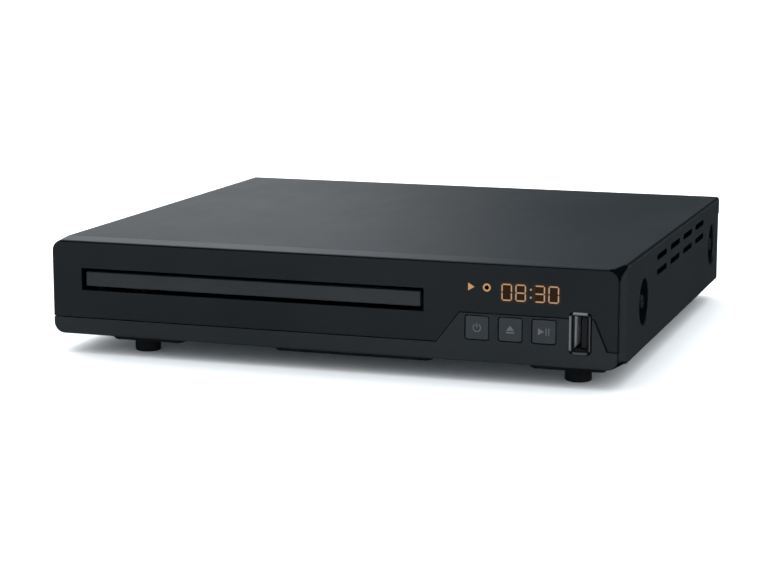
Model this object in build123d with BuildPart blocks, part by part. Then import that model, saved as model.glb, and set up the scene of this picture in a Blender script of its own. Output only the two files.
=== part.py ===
from build123d import *

import os
from math import acos, asin, atan2, cos, degrees, hypot, pi, radians, sin, tan

# Compact disc player with a motorised tray, made as an assembly of separate pieces.
# Millimetres. The origin is on the floor under the middle of the player, +Z is up and -Y is the front.
# Places are given from the left side, as a depth behind the front face and a rise above the bezel's bottom.

os.makedirs("parts", exist_ok=True)


def save(piece, name):
    """Labels a finished piece and writes it as one STEP file."""
    piece.part.label = name
    export_step(piece.part, f"parts/{name}.step")


# Case
bezel_height = 36.8
bezel_depth = 12.5
bezel_front_radius = 4.5
bezel_rear_radius = 1.5
bezel_edge_round = 0.5
bezel_wall = 2.2
bottom_lip = 5.6
face_wall = 3.2
ground_clearance = 7.8
sheet = 0.8
seam = 0.15
small_gap = 0.1
seat_gap = 0.3
pan_lift = 0.3
panel_gap = 3.4

# Drawn pads and feet under the pan
pad_drop = 3.3
pad_front = 8.0
pad_length = 31.0
pad_slope = 2.6
pad_corner = 2.0
left_pad_inset = 18.0
left_pad_width = 34.0
middle_pad_width = 67.2
middle_pad_shift = 7.4
right_pad_inset = 5.0
right_pad_width = 33.0
foot_radius = 5.0
foot_edge = 0.8
front_foot_inset = 16.0
rear_foot_inset = 17.4
left_foot_inset = 14.8
right_foot_inset = 13.5
foot_stem_radius = 2.0
foot_stem_length = 1.6
pan_vent_inset = 35.0
pan_vent_depth = 76.0
pan_vent_pitch = 9.0
pan_vent_row_pitch = 26.0
pan_vent_count = 4
pan_vent_rows = 2
pan_vent_length = 20.0
pan_vent_width = 2.4

# Side dimples with their screws, and side vents
dimple_radius = 9.3
dimple_floor_radius = 5.0
dimple_depth = 2.6
front_dimple_inset = 43.0
rear_dimple_inset = 17.4
dimple_rise = 18.0
flange_over_screw = 5.0
vent_length = 19.0
vent_width = 2.0
vent_pitch = 27.3
vent_inset = 23.8
vent_columns = 4
vent_rows = (25.1, 30.9)

# Screws
screw_radius = 1.45
screw_hole_radius = 1.5
screw_head_radius = 2.8
screw_head_height = 1.9
screw_head_taper = 8
screw_length = 4.0
screw_cross = 0.7
screw_cross_depth = 0.9
rear_lip = 7.5
rear_screw_drop = 4.6
rear_screw_inset = 14.0

# Tray slot and door in the front face
slot_inset = 12.5
slot_side_gap = 3.15
slot_height = 8.6
slot_radius = 0.8
slot_rise = 21.9
slot_relief = 0.4
door_gap = 1.5
door_recess = 0.9
door_thickness = 3.2
door_radius = 0.5
door_edge = 0.35

# Upper panel of the face, whose lower edge is a groove that steps up on the right
panel_thickness = 1.6
groove = 0.45
groove_rise = 6.4
step_rise = 17.95
step_over_key = 6.7
step_slope = 8.8
port_step = 5.25
port_step_slope = 4.9

# Buttons
button_size = 8.7
button_gap = 0.35
button_radius = 0.8
button_edge = 0.3
button_rise = 12.65
button_pitch = 12.6
key_shift = 1.2
key_to_port = 13.45
button_recess = 0.1
button_lip = 0.8
button_lip_thickness = 1.0
stem_radius = 1.3

# Front board and its key switches
front_board_depth = 10.0
board_thickness = 1.6
front_board_gap = 3.9
front_board_over_port = 8.85
front_board_inset = 5.5
front_board_lift = 0.6
front_board_top_gap = 0.8
front_boss_inset = 3.5
front_boss_radius = 3.0
switch_size = 6.0
switch_height = 2.6
switch_floor = 0.4
plunger_radius = 1.6
plunger_free = 0.9
plunger_hold = 1.2
plunger_clearance = 0.08
receiver_inset = 5.0
receiver_radius = 2.4
receiver_rise = 22.0
receiver_length = 5.0

# Display with segment digits
digit_width = 4.1
digit_height = 6.4
stroke = 0.6
segment_gap = 0.12
digit_offsets = (-9.0, -3.8, 3.3, 8.5)
digit_drop = 10.35
colon_shift = 6.4
colon_spacing = 2.9
colon_radius = 0.4
play_mark_offset = 22.4
play_mark_width = 2.7
play_mark_height = 3.3
mark_drop = 9.0
disc_mark_offset = 16.5
disc_mark_radius = 1.5
disc_mark_bore = 0.85
segment_recess = 0.02
display_width = 40.0
display_height = 11.0
display_inset = 10.3

# Upright socket for a memory stick
port_rise = 12.85
trim_width = 8.3
trim_height = 15.5
trim_radius = 1.8
trim_wall = 0.95
trim_proud = 0.3
trim_length = 3.0
trim_edge = 0.3
shell_width = 5.7
shell_height = 13.1
shell_wall = 0.3
shell_radius = 0.5
shell_recess = 1.0
shell_length = 14.0
tongue_thickness = 1.84
tongue_height = 11.1
tongue_recess = 1.4
tongue_offset = 1.0
socket_back = 3.0

# Tray
tray_margin = 5.65
tray_height = 4.6
tray_tail = 33.1
tray_corner = 3.0
disc_radius = 60.0
disc_clearance = 0.75
disc_seat_depth = 2.2
small_disc_radius = 40.5
small_disc_depth = 1.2
tray_slot_width = 43.0
finger_radius = 7.0
finger_depth = 3.0
finger_margin = 1.2
rack_height = 1.5
rack_inset = 6.0
rack_body = 3.0
rack_end_margin = 1.0

# Gears
pressure_angle = radians(25)
addendum_share = 0.85
dedendum_share = 1.1
tooth_slack = 0.14
rack_module = 1.0
pinion_teeth = 12
pinion_height = 2.4
train_module = 0.8
drive_teeth = 32
idler_teeth = 12
gear_thickness = 1.8
gear_lift = 0.3
train_clearance = 0.25
pinion_inset = 13.5
gear_pin_radius = 1.5
running_gap = 0.06
pulley_radius = 9.8
pulley_hub_radius = 3.4
motor_pulley_radius = 3.4
motor_offset = 37.0
belt_size = 1.2
belt_groove = 0.8
belt_fit = 0.05
motor_radius = 10.5
motor_gap = 0.5
motor_length = 9.6
motor_shaft_radius = 1.0

# Loader frame
frame_front = 14.5
frame_tail = 15.0
frame_rise = 1.2
frame_floor = 1.6
frame_wall = 2.6
tray_side_gap = 0.45
ledge_width = 3.4
ledge_height = 1.5
tab_reach = 2.5
tab_height = 1.2
tab_length = 14.0
tab_front_inset = 3.5
tab_middle_offset = 27.0
tab_rear_inset = 20.0
deck_thickness = 1.6
cross_offset = 30.0
cross_length = 15.0
rear_cross_length = 14.0
frame_screw_inset = 7.0
frame_screw_front = 11.5
frame_screw_rear = 6.0
frame_post_radius = 4.0

# Lifting carriage and its cam
carriage_width = 74.0
carriage_fore = 23.0
carriage_tail = 3.0
carriage_thickness = 2.0
carriage_rise = 11.4
window_width = 49.0
window_offset = 15.5
window_margin = 2.0
pivot_offset = 82.0
pivot_radius = 2.0
pivot_reach = 5.0
pivot_side_gap = 1.0
pivot_bracket = 8.0
cam_pin_radius = 1.2
cam_pin_reach = 2.4
cam_pin_spacing = 28.0
cam_drop = 5.4
cam_travel = 14.0
cam_slack = 0.2
cam_thickness = 1.8
cam_height = 13.0
cam_margin = 4.0
cam_gap = 0.8
cam_wall = 1.9

# Spindle, turntable and clamp
spindle_radius = 13.0
spindle_base_radius = 15.0
spindle_base = 1.0
spindle_height = 5.6
turntable_radius = 14.8
turntable_thickness = 2.8
disc_lift = 1.4
disc_thickness = 1.2
hub_radius = 7.4
hub_height = 1.7
hub_taper = 1.0
spindle_shaft_radius = 1.0
shaft_hold = 3.0
bridge_length = 36.0
bridge_thickness = 1.4
bridge_over_tray = 2.6
bridge_rib = 2.0
bridge_ear = 6.0
bridge_ear_height = 6.6
bridge_screw_margin = 5.0
bridge_bore = 10.6
clamp_radius = 13.0
clamp_neck_radius = 9.8
clamp_plate = 1.4
clamp_gap = 0.25
clamp_recess_radius = 8.3
clamp_recess = 0.8
magnet_radius = 6.5
magnet_bore = 2.5
magnet_height = 2.0

# Pickup, its rods and its feed drive
guide_radius = 1.5
guide_spacing = 54.0
guide_lift = 0.1
guide_offset = 10.5
guide_block = 4.5
guide_block_width = 5.2
guide_fit = 0.02
pickup_start = 24.0
pickup_travel = 34.0
pickup_width = 45.0
pickup_fore = 8.5
pickup_aft = 20.0
pickup_below = 3.7
pickup_above = 3.2
pickup_top_width = 33.0
pickup_top_rise = 6.7
pickup_ear = 6.4
pickup_ear_gap = 0.15
lens_radius = 3.0
lens_height = 0.5
lens_taper = 35
lens_holder_radius = 5.4
lens_holder_height = 1.2
lens_float = 0.4
feed_module = 0.6
feed_pinion_teeth = 12
feed_wheel_teeth = 30
feed_motor_teeth = 10
feed_offset = 51.5
feed_rack_back = 29.8
feed_rack_body = 1.44
feed_rack_lift = 0.3
feed_rack_thickness = 1.8
feed_wheel_lift = 3.7
feed_wheel_thickness = 1.4
feed_pin_radius = 1.0
feed_motor_radius = 5.0
feed_motor_length = 6.4
feed_shaft_radius = 0.75
feed_arm = 6.0
feed_arm_fore = 22.5
feed_arm_aft = 11.5
ribbon_width = 14.0
ribbon_thickness = 0.3
ribbon_bend = 1.4
ribbon_ramp = 4.0
ribbon_loop_inset = 6.0

# Boards at the back and on the right
board_rise = 5.0
standoff_radius = 3.0
board_screw_inset = 5.0
loader_gap = 6.0
board_length = 30.4
board_gap = 3.0
main_board_inset = 7.0
arm_width = 58.0
arm_length = 64.0
power_board_left = 8.5
power_board_width = 61.5
middle_standoff_inset = 38.0
standoff_inset = 14.0
front_ribbon_inset = 33.0
front_ribbon_rise = 8.7
connector_lip = 2.0
transformer_inset = 19.0
transformer_offset = 18.0
transformer_width = 20.0
transformer_length = 18.0
transformer_core = 7.0
transformer_winding = 15.0
transformer_height = 17.0
transformer_yoke = 3.0
harness_inset = 5.0
harness_offset = 22.5
wire_count = 5
wire_pitch = 1.4
wire_radius = 0.55
connector_height = 3.5
connector_depth = 5.0
chip_height = 1.2
fin_count = 6
fin_thickness = 0.9
fin_pitch = 2.4
fin_height = 7.0

# Chips on the main board, each by its distance from the right side and its depth behind the front edge,
# and by its size in plan
chips = (
    (30.0, -30.0, 15.0, 15.0),
    (30.0, -9.0, 18.0, 8.0),
    (50.0, -44.0, 8.0, 12.0),
    (72.0, 10.0, 12.0, 8.0),
    (118.0, 11.0, 7.0, 10.0),
)

# Capacitors, placed in the same way from the main board's right side or the power board's left side,
# and given by their radius and their height
main_capacitors = (
    (106.0, 8.0, 3.2, 8.0),
    (97.0, 8.0, 3.2, 8.0),
    (88.0, 12.0, 4.0, 11.0),
    (8.0, -38.0, 3.2, 8.0),
    (8.0, -29.0, 3.2, 8.0),
)
power_capacitors = (
    (16.5, 9.0, 6.5, 20.0),
    (28.5, 5.5, 4.0, 13.0),
)

# Rear connectors
jack_reach = 8.0
jack_radius = 4.15
jack_bore_radius = 1.7
jack_bore_depth = 7.0
jack_insets = (39.0, 24.5)
jack_rows = (10.5, 23.5)
jack_collar_radius = 5.4
jack_collar_reach = 1.0
jack_block_depth = 11.0
jack_block_margin = 7.0
barrel_wall = 0.35
barrel_recess = 0.4
hdmi_inset = 57.0
hdmi_width = 15.0
hdmi_height = 5.6
hdmi_wall = 0.4
hdmi_length = 12.0
hdmi_reach = 0.8
hdmi_tongue_thickness = 1.2
hdmi_tongue_width = 10.4
hdmi_lift = 0.2
hdmi_slope = 1.4
inlet_column = 26.0
inlet_rise = 15.0
inlet_lobe_radius = 4.4
inlet_spacing = 8.6
inlet_wall = 2.0
inlet_cavity = 10.0
inlet_length = 16.0
inlet_flange = 2.4
inlet_flange_thickness = 1.6
inlet_pin_radius = 1.2
inlet_pin_length = 8.0
inlet_pin_round = 0.6
opening_gap = 0.3
rear_vent_shift = 5.5
rear_vent_rise = 22.0
rear_vent_pitch = 5.0
rear_vent_count = 9
rear_vent_height = 14.0

# The tray and the loader are sized round the disc, in depths behind the front face
pinion_depth = frame_front + pinion_inset
cross_front = pinion_depth + motor_radius + motor_gap
disc_depth = cross_front + cross_offset
tray_width = 2 * (disc_radius + disc_clearance + tray_margin)
tray_length = disc_depth - door_recess - door_thickness + disc_radius + tray_tail
pivot_depth = disc_depth + pivot_offset
carriage_front = disc_depth - carriage_fore
carriage_rear = pivot_depth + carriage_tail
window_front = disc_depth + window_offset
window_rear = pivot_depth - window_margin
guide_front = disc_depth + guide_offset
feed_depth = disc_depth + feed_offset
frame_rear = pivot_depth + frame_tail
frame_length = frame_rear - frame_front
tab_depths = (frame_front + tab_front_inset, disc_depth + tab_middle_offset, frame_rear - tab_rear_inset)
frame_screw_depths = (cross_front + frame_screw_front, frame_rear - frame_screw_rear)

# The face runs from the slot to the display, the keys and the socket, and the case is as wide as they need
slot_width = tray_width + 2 * slot_side_gap
slot_middle = slot_inset + slot_width / 2
front_board_left = slot_inset + slot_width + front_board_gap
receiver_column = front_board_left + receiver_inset
display_column = front_board_left + display_inset + display_width / 2
colon_column = display_column + colon_shift
digit_columns = [colon_column + offset for offset in digit_offsets]
play_mark_column = colon_column - play_mark_offset
disc_mark_column = colon_column - disc_mark_offset
middle_button = display_column - key_shift
port_column = middle_button + button_pitch + key_to_port
front_board_width = port_column + front_board_over_port - front_board_left
case_width = front_board_left + front_board_width + front_board_inset
step_left = middle_button - button_pitch - step_over_key
step_right = port_column + port_step
step_points = (step_left - step_slope, step_left, step_right, step_right + port_step_slope)

# The boards lie behind the loader, and the case is as deep as both need
main_board_front = frame_rear + loader_gap
case_depth = main_board_front + board_length + panel_gap + 2 * sheet
power_board_right = power_board_left + power_board_width
main_board_left = power_board_right + board_gap
main_board_right = case_width - main_board_inset
arm_left = main_board_right - arm_width
arm_front = main_board_front - arm_length
middle_standoff = main_board_right - middle_standoff_inset
board_standoff_depth = main_board_front + standoff_inset
front_ribbon_column = main_board_right - front_ribbon_inset
transformer_column = power_board_right - transformer_inset
transformer_depth = main_board_front + transformer_offset
harness_depth = main_board_front + harness_offset
jack_columns = [case_width - inset for inset in jack_insets]
hdmi_column = case_width - hdmi_inset
rear_vent_column = case_width / 2 + rear_vent_shift

# Pads, feet and side dimples keep their distance from the case's sides and ends
left_pad = (left_pad_inset, left_pad_inset + left_pad_width)
middle_pad = tuple(case_width / 2 + middle_pad_shift + side * middle_pad_width / 2 for side in (-1, 1))
right_pad = (case_width - right_pad_inset - right_pad_width, case_width - right_pad_inset)
foot_depths = (front_foot_inset, case_depth - rear_foot_inset)
foot_columns = (left_pad[0] + left_foot_inset, right_pad[1] - right_foot_inset)
dimple_depths = (front_dimple_inset, case_depth - rear_dimple_inset)
vent_start = front_dimple_inset + vent_inset
pan_vent_column = case_width - pan_vent_inset

# Places worked out from the sizes above
overall_depth = trim_proud + case_depth - sheet + jack_reach
front_y = trim_proud - overall_depth / 2
left_x = -case_width / 2
bezel_bottom = ground_clearance
bezel_top = ground_clearance + bezel_height
cover_inner_top = bezel_top - sheet
pan_bottom = bezel_bottom + pan_lift
pan_top = pan_bottom + sheet
pad_bottom = bezel_bottom - pad_drop
pan_half = case_width / 2 - sheet - dimple_depth
rear_y = front_y + case_depth
panel_back_y = rear_y - sheet
panel_inner_y = panel_back_y - sheet


def side_x(from_left):
    """X of a place given by its distance from the player's left side."""
    return left_x + from_left


def depth_y(from_face):
    """Y of a place given by its depth behind the front face."""
    return front_y + from_face


def rise_z(above_bottom):
    """Z of a place given by its height above the bezel's bottom."""
    return bezel_bottom + above_bottom


def upright(y):
    """Sketch plane square to Y, with X to the right and Z up. It faces the front, towards -Y."""
    return Plane(origin=(0, y, 0), x_dir=(1, 0, 0), z_dir=(0, -1, 0))


def across(x):
    """Sketch plane square to X, with its own X along +Y and Z up. It faces +X."""
    return Plane(origin=(x, 0, 0), x_dir=(0, 1, 0), z_dir=(1, 0, 0))


def level(z):
    """Sketch plane at a height, facing up."""
    return Plane.XY.offset(z)


def block(x_ends, y_ends, z_ends, mode=Mode.ADD):
    """A box between two values on each axis."""
    with Locations([tuple(sum(ends) / 2 for ends in (x_ends, y_ends, z_ends))]):
        Box(*[abs(b - a) for a, b in (x_ends, y_ends, z_ends)], mode=mode)


def post(place, z_ends, radius, mode=Mode.ADD):
    """An upright cylinder between two heights."""
    with Locations((place[0], place[1], sum(z_ends) / 2)):
        Cylinder(radius, abs(z_ends[1] - z_ends[0]), mode=mode)


def rod(place, y_ends, radius, mode=Mode.ADD):
    """A cylinder along Y. Its place is its X and Z."""
    with Locations(Location((place[0], sum(y_ends) / 2, place[1]), (90, 0, 0))):
        Cylinder(radius, abs(y_ends[1] - y_ends[0]), mode=mode)


def cross_rod(place, x_ends, radius, mode=Mode.ADD):
    """A cylinder along X. Its place is its Y and Z."""
    with Locations(Location((sum(x_ends) / 2, place[0], place[1]), (0, 90, 0))):
        Cylinder(radius, abs(x_ends[1] - x_ends[0]), mode=mode)


def involute(angle):
    return tan(angle) - angle


def gear_points(teeth, module, phase):
    """Outline of a spur gear with involute flanks, with a tooth centred on the direction phase."""
    pitch = teeth * module / 2
    base = pitch * cos(pressure_angle)
    tip = pitch + addendum_share * module
    root = pitch - dedendum_share * module
    half = (pi * module - tooth_slack) / (4 * pitch)
    start = max(base, root)
    radii = (start, (start + 2 * tip) / 3, tip)
    flank = [(r, half + involute(pressure_angle) - involute(acos(base / r))) for r in radii]
    if root < base:
        flank.insert(0, (root, flank[0][1]))
    points = []
    for tooth in range(teeth):
        middle = phase + 2 * pi * tooth / teeth
        points += [(r * cos(middle - turn), r * sin(middle - turn)) for r, turn in flank]
        points += [(r * cos(middle + turn), r * sin(middle + turn)) for r, turn in reversed(flank)]
    return points


def add_gear(place, z, thickness, teeth, module, phase):
    """Adds a spur gear whose underside is at z."""
    with BuildSketch(level(z)) as gear_face:
        with Locations(place):
            Polygon(*gear_points(teeth, module, phase), align=None)
    extrude(gear_face.sketch, amount=thickness)


def rack_points(pitch_x, gap_y, module, tooth_range, back_x):
    """Outline of a rack along Y whose teeth point to +X, with one of its gaps centred on gap_y."""
    step = pi * module
    half_pitch = (step - tooth_slack) / 4
    tip_x = pitch_x + addendum_share * module
    root_x = pitch_x - dedendum_share * module
    half_tip = half_pitch - addendum_share * module * tan(pressure_angle)
    half_root = half_pitch + dedendum_share * module * tan(pressure_angle)
    points = [(back_x, gap_y + tooth_range[0] * step)]
    for tooth in range(*tooth_range):
        middle = gap_y + (tooth + 0.5) * step
        points += [(root_x, middle - half_root), (tip_x, middle - half_tip)]
        points += [(tip_x, middle + half_tip), (root_x, middle + half_root)]
    points.append((back_x, gap_y + tooth_range[1] * step))
    return points


def add_screw(place, axis):
    """Pan head screw with a cross. The underside of its head is at place, and its shank runs along axis."""
    seat = Plane(origin=place, z_dir=axis)
    with BuildSketch(seat) as shank:
        Circle(screw_radius)
    extrude(shank.sketch, amount=screw_length)
    with BuildSketch(seat) as head:
        Circle(screw_head_radius)
    extrude(head.sketch, amount=-screw_head_height, taper=screw_head_taper)
    with BuildSketch(seat.offset(-screw_head_height)) as drive:
        Rectangle(2 * screw_radius, screw_cross)
        Rectangle(screw_cross, 2 * screw_radius)
    extrude(drive.sketch, amount=screw_cross_depth, mode=Mode.SUBTRACT)


# Outer form of the bezel, which its face panel shares
def bezel_section(radius):
    with Locations((0, bezel_bottom + bezel_height / 2)):
        RectangleRounded(case_width, bezel_height, radius)


with BuildPart() as bezel_form:
    with BuildSketch(upright(front_y)):
        bezel_section(bezel_front_radius)
    with BuildSketch(upright(front_y + bezel_depth)):
        bezel_section(bezel_rear_radius)
    loft()
    fillet(bezel_form.faces().sort_by(Axis.Y)[0].edges(), bezel_edge_round)


def panel_region(shift):
    """Area over the stepped groove. A shift raises its lower edge."""
    low = rise_z(groove_rise + shift)
    high = rise_z(step_rise + shift)
    left_foot, left_top, right_top, right_foot = (side_x(place) for place in step_points)
    Polygon(
        (2 * left_x, 2 * bezel_top), (2 * left_x, low), (left_foot, low), (left_top, high),
        (right_top, high), (right_foot, low), (-2 * left_x, low), (-2 * left_x, 2 * bezel_top),
        align=None,
    )


tray_x = side_x(slot_middle)
slot_z = rise_z(slot_rise)
port_x = side_x(port_column)
port_z = rise_z(port_rise)
button_z = rise_z(button_rise)
button_names = ("power", "eject", "play")
button_places = [side_x(middle_button + k * button_pitch) for k in (-1, 0, 1)]


def slot_shape(margin):
    with Locations((tray_x, slot_z)):
        RectangleRounded(slot_width + 2 * margin, slot_height + 2 * margin, slot_radius + margin)


def port_shape(margin):
    with Locations((port_x, port_z)):
        RectangleRounded(trim_width + 2 * margin, trim_height + 2 * margin, trim_radius + margin)


def shell_shape(margin):
    with Locations((port_x, port_z)):
        RectangleRounded(shell_width + 2 * margin, shell_height + 2 * margin, shell_radius + margin)


# Display: each segment is a light guide that runs from the lamp block to the face
digit_z = bezel_top - digit_drop
mark_z = bezel_top - mark_drop
disc_mark_place = (side_x(disc_mark_column), mark_z)
display_x = side_x(display_column)
display_y = depth_y(face_wall + small_gap)
segment_span = digit_width - stroke
segment_rise = (digit_height - stroke) / 2
flat_bars = {"top": segment_rise, "middle": 0.0, "bottom": -segment_rise}
tall_bars = {
    "upper_left": (-1, 1),
    "upper_right": (1, 1),
    "lower_left": (-1, -1),
    "lower_right": (1, -1),
}
unlit_bars = ({"middle"}, set(), {"upper_left", "lower_left"}, {"middle"})


def bar_points(length):
    """Half outlines of a mitred bar of a digit, lying along its own first axis."""
    end = length / 2 - segment_gap
    tip = stroke / 2
    return [(-end, 0), (tip - end, tip), (end - tip, tip), (end, 0), (end - tip, -tip), (tip - end, -tip)]


def segment_shapes():
    """All lit shapes of the display: four digits, a colon, a play mark and a disc mark."""
    for column, unlit in zip(digit_columns, unlit_bars):
        for name, dz in flat_bars.items():
            if name not in unlit:
                with Locations((side_x(column), digit_z + dz)):
                    Polygon(*bar_points(segment_span), align=None)
        for name, (side, row) in tall_bars.items():
            if name not in unlit:
                with Locations((side_x(column) + side * segment_span / 2, digit_z + row * segment_rise / 2)):
                    Polygon(*[(b, a) for a, b in bar_points(segment_rise)], align=None)
    with Locations(*[(side_x(colon_column), digit_z + k * colon_spacing / 2) for k in (-1, 1)]):
        Circle(colon_radius)
    with Locations((side_x(play_mark_column), mark_z)):
        half = play_mark_height / 2
        Polygon(
            (-play_mark_width / 2, -half), (play_mark_width / 2, 0), (-play_mark_width / 2, half), align=None,
        )
    with Locations(disc_mark_place):
        Circle(disc_mark_radius)
        Circle(disc_mark_bore, mode=Mode.SUBTRACT)


with BuildPart() as display_segments:
    with BuildSketch(upright(display_y)):
        segment_shapes()
    extrude(amount=display_y - front_y - segment_recess)
save(display_segments, "display_segments")

# Upper panel of the face
with BuildPart() as front_panel:
    with BuildSketch(upright(front_y + panel_thickness)):
        panel_region(groove)
    extrude(amount=2 * panel_thickness)
    add(bezel_form.part, mode=Mode.INTERSECT)
    with BuildSketch(upright(front_y + panel_thickness)):
        slot_shape(0)
        port_shape(small_gap)
        segment_shapes()
        with Locations(disc_mark_place):
            Circle(disc_mark_radius)
    extrude(amount=2 * panel_thickness, mode=Mode.SUBTRACT)
save(front_panel, "front_panel")

# Front bezel, open behind, with bosses for the front board
face_inner_y = depth_y(face_wall)
front_board_y = depth_y(front_board_depth)
front_board_x = (side_x(front_board_left), side_x(front_board_left + front_board_width))
front_board_bottom = bezel_bottom + bezel_wall + front_board_lift
front_board_z = (front_board_bottom, bezel_top - bezel_wall - front_board_top_gap)
front_board_holes = [
    (front_board_x[0] + front_boss_inset, front_board_z[1] - front_boss_inset),
    (front_board_x[1] - front_boss_inset, front_board_z[1] - front_boss_inset),
    (front_board_x[0] + front_boss_inset, front_board_z[0] + front_boss_inset),
]
button_opening = button_size + 2 * button_gap
with BuildPart() as front_bezel:
    add(bezel_form.part)
    with BuildSketch(upright(front_y + bezel_depth)):
        with Locations((0, bezel_bottom + bezel_height / 2)):
            Rectangle(case_width - 2 * bezel_wall, bezel_height - 2 * bezel_wall)
    extrude(amount=bezel_depth - face_wall, mode=Mode.SUBTRACT)
    block(
        (left_x + bezel_wall, -left_x - bezel_wall), (depth_y(bottom_lip), depth_y(2 * bezel_depth)),
        (0, bezel_bottom + 2 * bezel_wall), Mode.SUBTRACT,
    )
    with BuildSketch(upright(front_y + panel_thickness)):
        panel_region(0)
    extrude(amount=2 * panel_thickness, mode=Mode.SUBTRACT)
    with BuildSketch(upright(face_inner_y)):
        slot_shape(slot_relief)
        port_shape(small_gap)
        with Locations(*[(x, button_z) for x in button_places]):
            RectangleRounded(button_opening, button_opening, button_radius + button_gap)
        with Locations((display_x, digit_z)):
            Rectangle(display_width, display_height)
    extrude(amount=2 * face_wall, mode=Mode.SUBTRACT)
    with BuildSketch(upright(front_board_y)):
        with Locations(*front_board_holes):
            Circle(front_boss_radius)
    extrude(amount=front_board_y - face_inner_y)
    with BuildSketch(upright(front_board_y)):
        with Locations(*front_board_holes):
            Circle(screw_hole_radius)
    extrude(amount=screw_length, mode=Mode.SUBTRACT)
save(front_bezel, "front_bezel")

# Base pan: a steel tray with drawn pads, side flanges and raised posts
pan_ends = (depth_y(bottom_lip + pan_lift), panel_inner_y - seam)
dimple_z = rise_z(dimple_rise)
flange_top = dimple_z + flange_over_screw
frame_bottom = pan_top + frame_rise
board_bottom = pan_top + board_rise
board_top = board_bottom + board_thickness
board_rear_y = panel_inner_y - panel_gap
tray_half = tray_width / 2
wall_inner = tray_half + tray_side_gap
wall_outer = wall_inner + frame_wall
frame_y = (depth_y(frame_front), depth_y(frame_front + frame_length))
frame_screws = [
    (tray_x + side * (wall_outer - frame_screw_inset), depth_y(depth))
    for side in (-1, 1)
    for depth in frame_screw_depths
]
main_board_screws = [
    (side_x(main_board_left + board_screw_inset), depth_y(board_standoff_depth)),
    (side_x(middle_standoff), depth_y(board_standoff_depth)),
    (side_x(main_board_right - board_screw_inset), depth_y(arm_front + board_screw_inset)),
    (side_x(arm_left + board_screw_inset), depth_y(arm_front + board_screw_inset)),
]
power_board_screws = [
    (side_x(power_board_left + board_screw_inset), depth_y(main_board_front + board_screw_inset)),
    (side_x(power_board_right - board_screw_inset), depth_y(main_board_front + board_screw_inset)),
    (side_x(power_board_left + board_screw_inset), board_rear_y - board_screw_inset),
]
foot_places = [(side_x(column), depth_y(depth)) for depth in foot_depths for column in foot_columns]
rear_pad_front = foot_depths[1] - pad_length / 2
pads = [(ends, pad_front) for ends in (left_pad, middle_pad, right_pad)]
pads += [(ends, rear_pad_front) for ends in (left_pad, right_pad)]


def add_pad(ends, front, top, bottom, inset, mode):
    """A pad drawn down out of the pan, wide at the pan and narrower at its foot."""
    middle = (side_x(sum(ends) / 2), depth_y(front + pad_length / 2))
    width = ends[1] - ends[0] - 2 * inset
    length = pad_length - 2 * inset
    with BuildSketch(level(top)) as wide:
        with Locations(middle):
            RectangleRounded(width, length, pad_corner)
    with BuildSketch(level(bottom)) as narrow:
        with Locations(middle):
            RectangleRounded(width - 2 * pad_slope, length - 2 * pad_slope, pad_corner)
    loft([wide.sketch, narrow.sketch], mode=mode)


with BuildPart() as base_pan:
    block((-pan_half, pan_half), pan_ends, (pan_bottom, pan_top))
    for ends, front in pads:
        add_pad(ends, front, pan_bottom, pad_bottom, 0, Mode.ADD)
    for ends, front in pads:
        add_pad(ends, front, pan_top, pad_bottom + sheet, sheet, Mode.SUBTRACT)
    for side in (-1, 1):
        block(
            (side * pan_half, side * (pan_half - sheet)), (depth_y(bezel_depth + seam), pan_ends[1]),
            (pan_bottom, flange_top),
        )
    for place in frame_screws:
        post(place, (pan_top, frame_bottom), frame_post_radius)
    for place in main_board_screws + power_board_screws:
        post(place, (pan_top, board_bottom), standoff_radius)
    for place in frame_screws + main_board_screws + power_board_screws:
        post(place, (0, board_top), screw_hole_radius, Mode.SUBTRACT)
    for place in foot_places:
        post(place, (0, pan_bottom), foot_stem_radius + small_gap, Mode.SUBTRACT)
    with BuildSketch(across(-case_width)):
        with Locations(*[(depth_y(depth), dimple_z) for depth in dimple_depths]):
            Circle(screw_hole_radius)
    extrude(amount=2 * case_width, mode=Mode.SUBTRACT)
    with BuildSketch(level(0)):
        with Locations((side_x(pan_vent_column), depth_y(pan_vent_depth))):
            with GridLocations(pan_vent_pitch, pan_vent_row_pitch, pan_vent_count, pan_vent_rows):
                SlotOverall(pan_vent_length, pan_vent_width, rotation=90)
    extrude(amount=pan_top + sheet, mode=Mode.SUBTRACT)
save(base_pan, "base_pan")

# Feet: a soft disc with a stem that holds in the pad
with BuildPart() as feet:
    for place in foot_places:
        post(place, (0, pad_bottom), foot_radius)
        post(place, (pad_bottom, pad_bottom + foot_stem_length), foot_stem_radius)
    fillet(feet.edges().filter_by(GeomType.CIRCLE).group_by(Axis.Z)[0], foot_edge)
save(feet, "feet")

# Top cover: one folded sheet with dished screw seats, side vents and a rear lip
cover_bottom = bezel_bottom + pan_lift
rear_screw_places = [
    (side * (case_width / 2 - rear_screw_inset), bezel_top - rear_screw_drop) for side in (-1, 0, 1)
]


def cover_section(inset):
    """Section of the folded sheet, from its outer face inwards, closed under the player."""
    width = case_width - 2 * inset
    radius = bezel_rear_radius - inset
    middle_z = bezel_top - inset - bezel_height / 2
    with Locations((0, middle_z)):
        RectangleRounded(width, bezel_height, radius)
    with Locations((0, middle_z - bezel_height / 2)):
        Rectangle(width, bezel_height)


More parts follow.
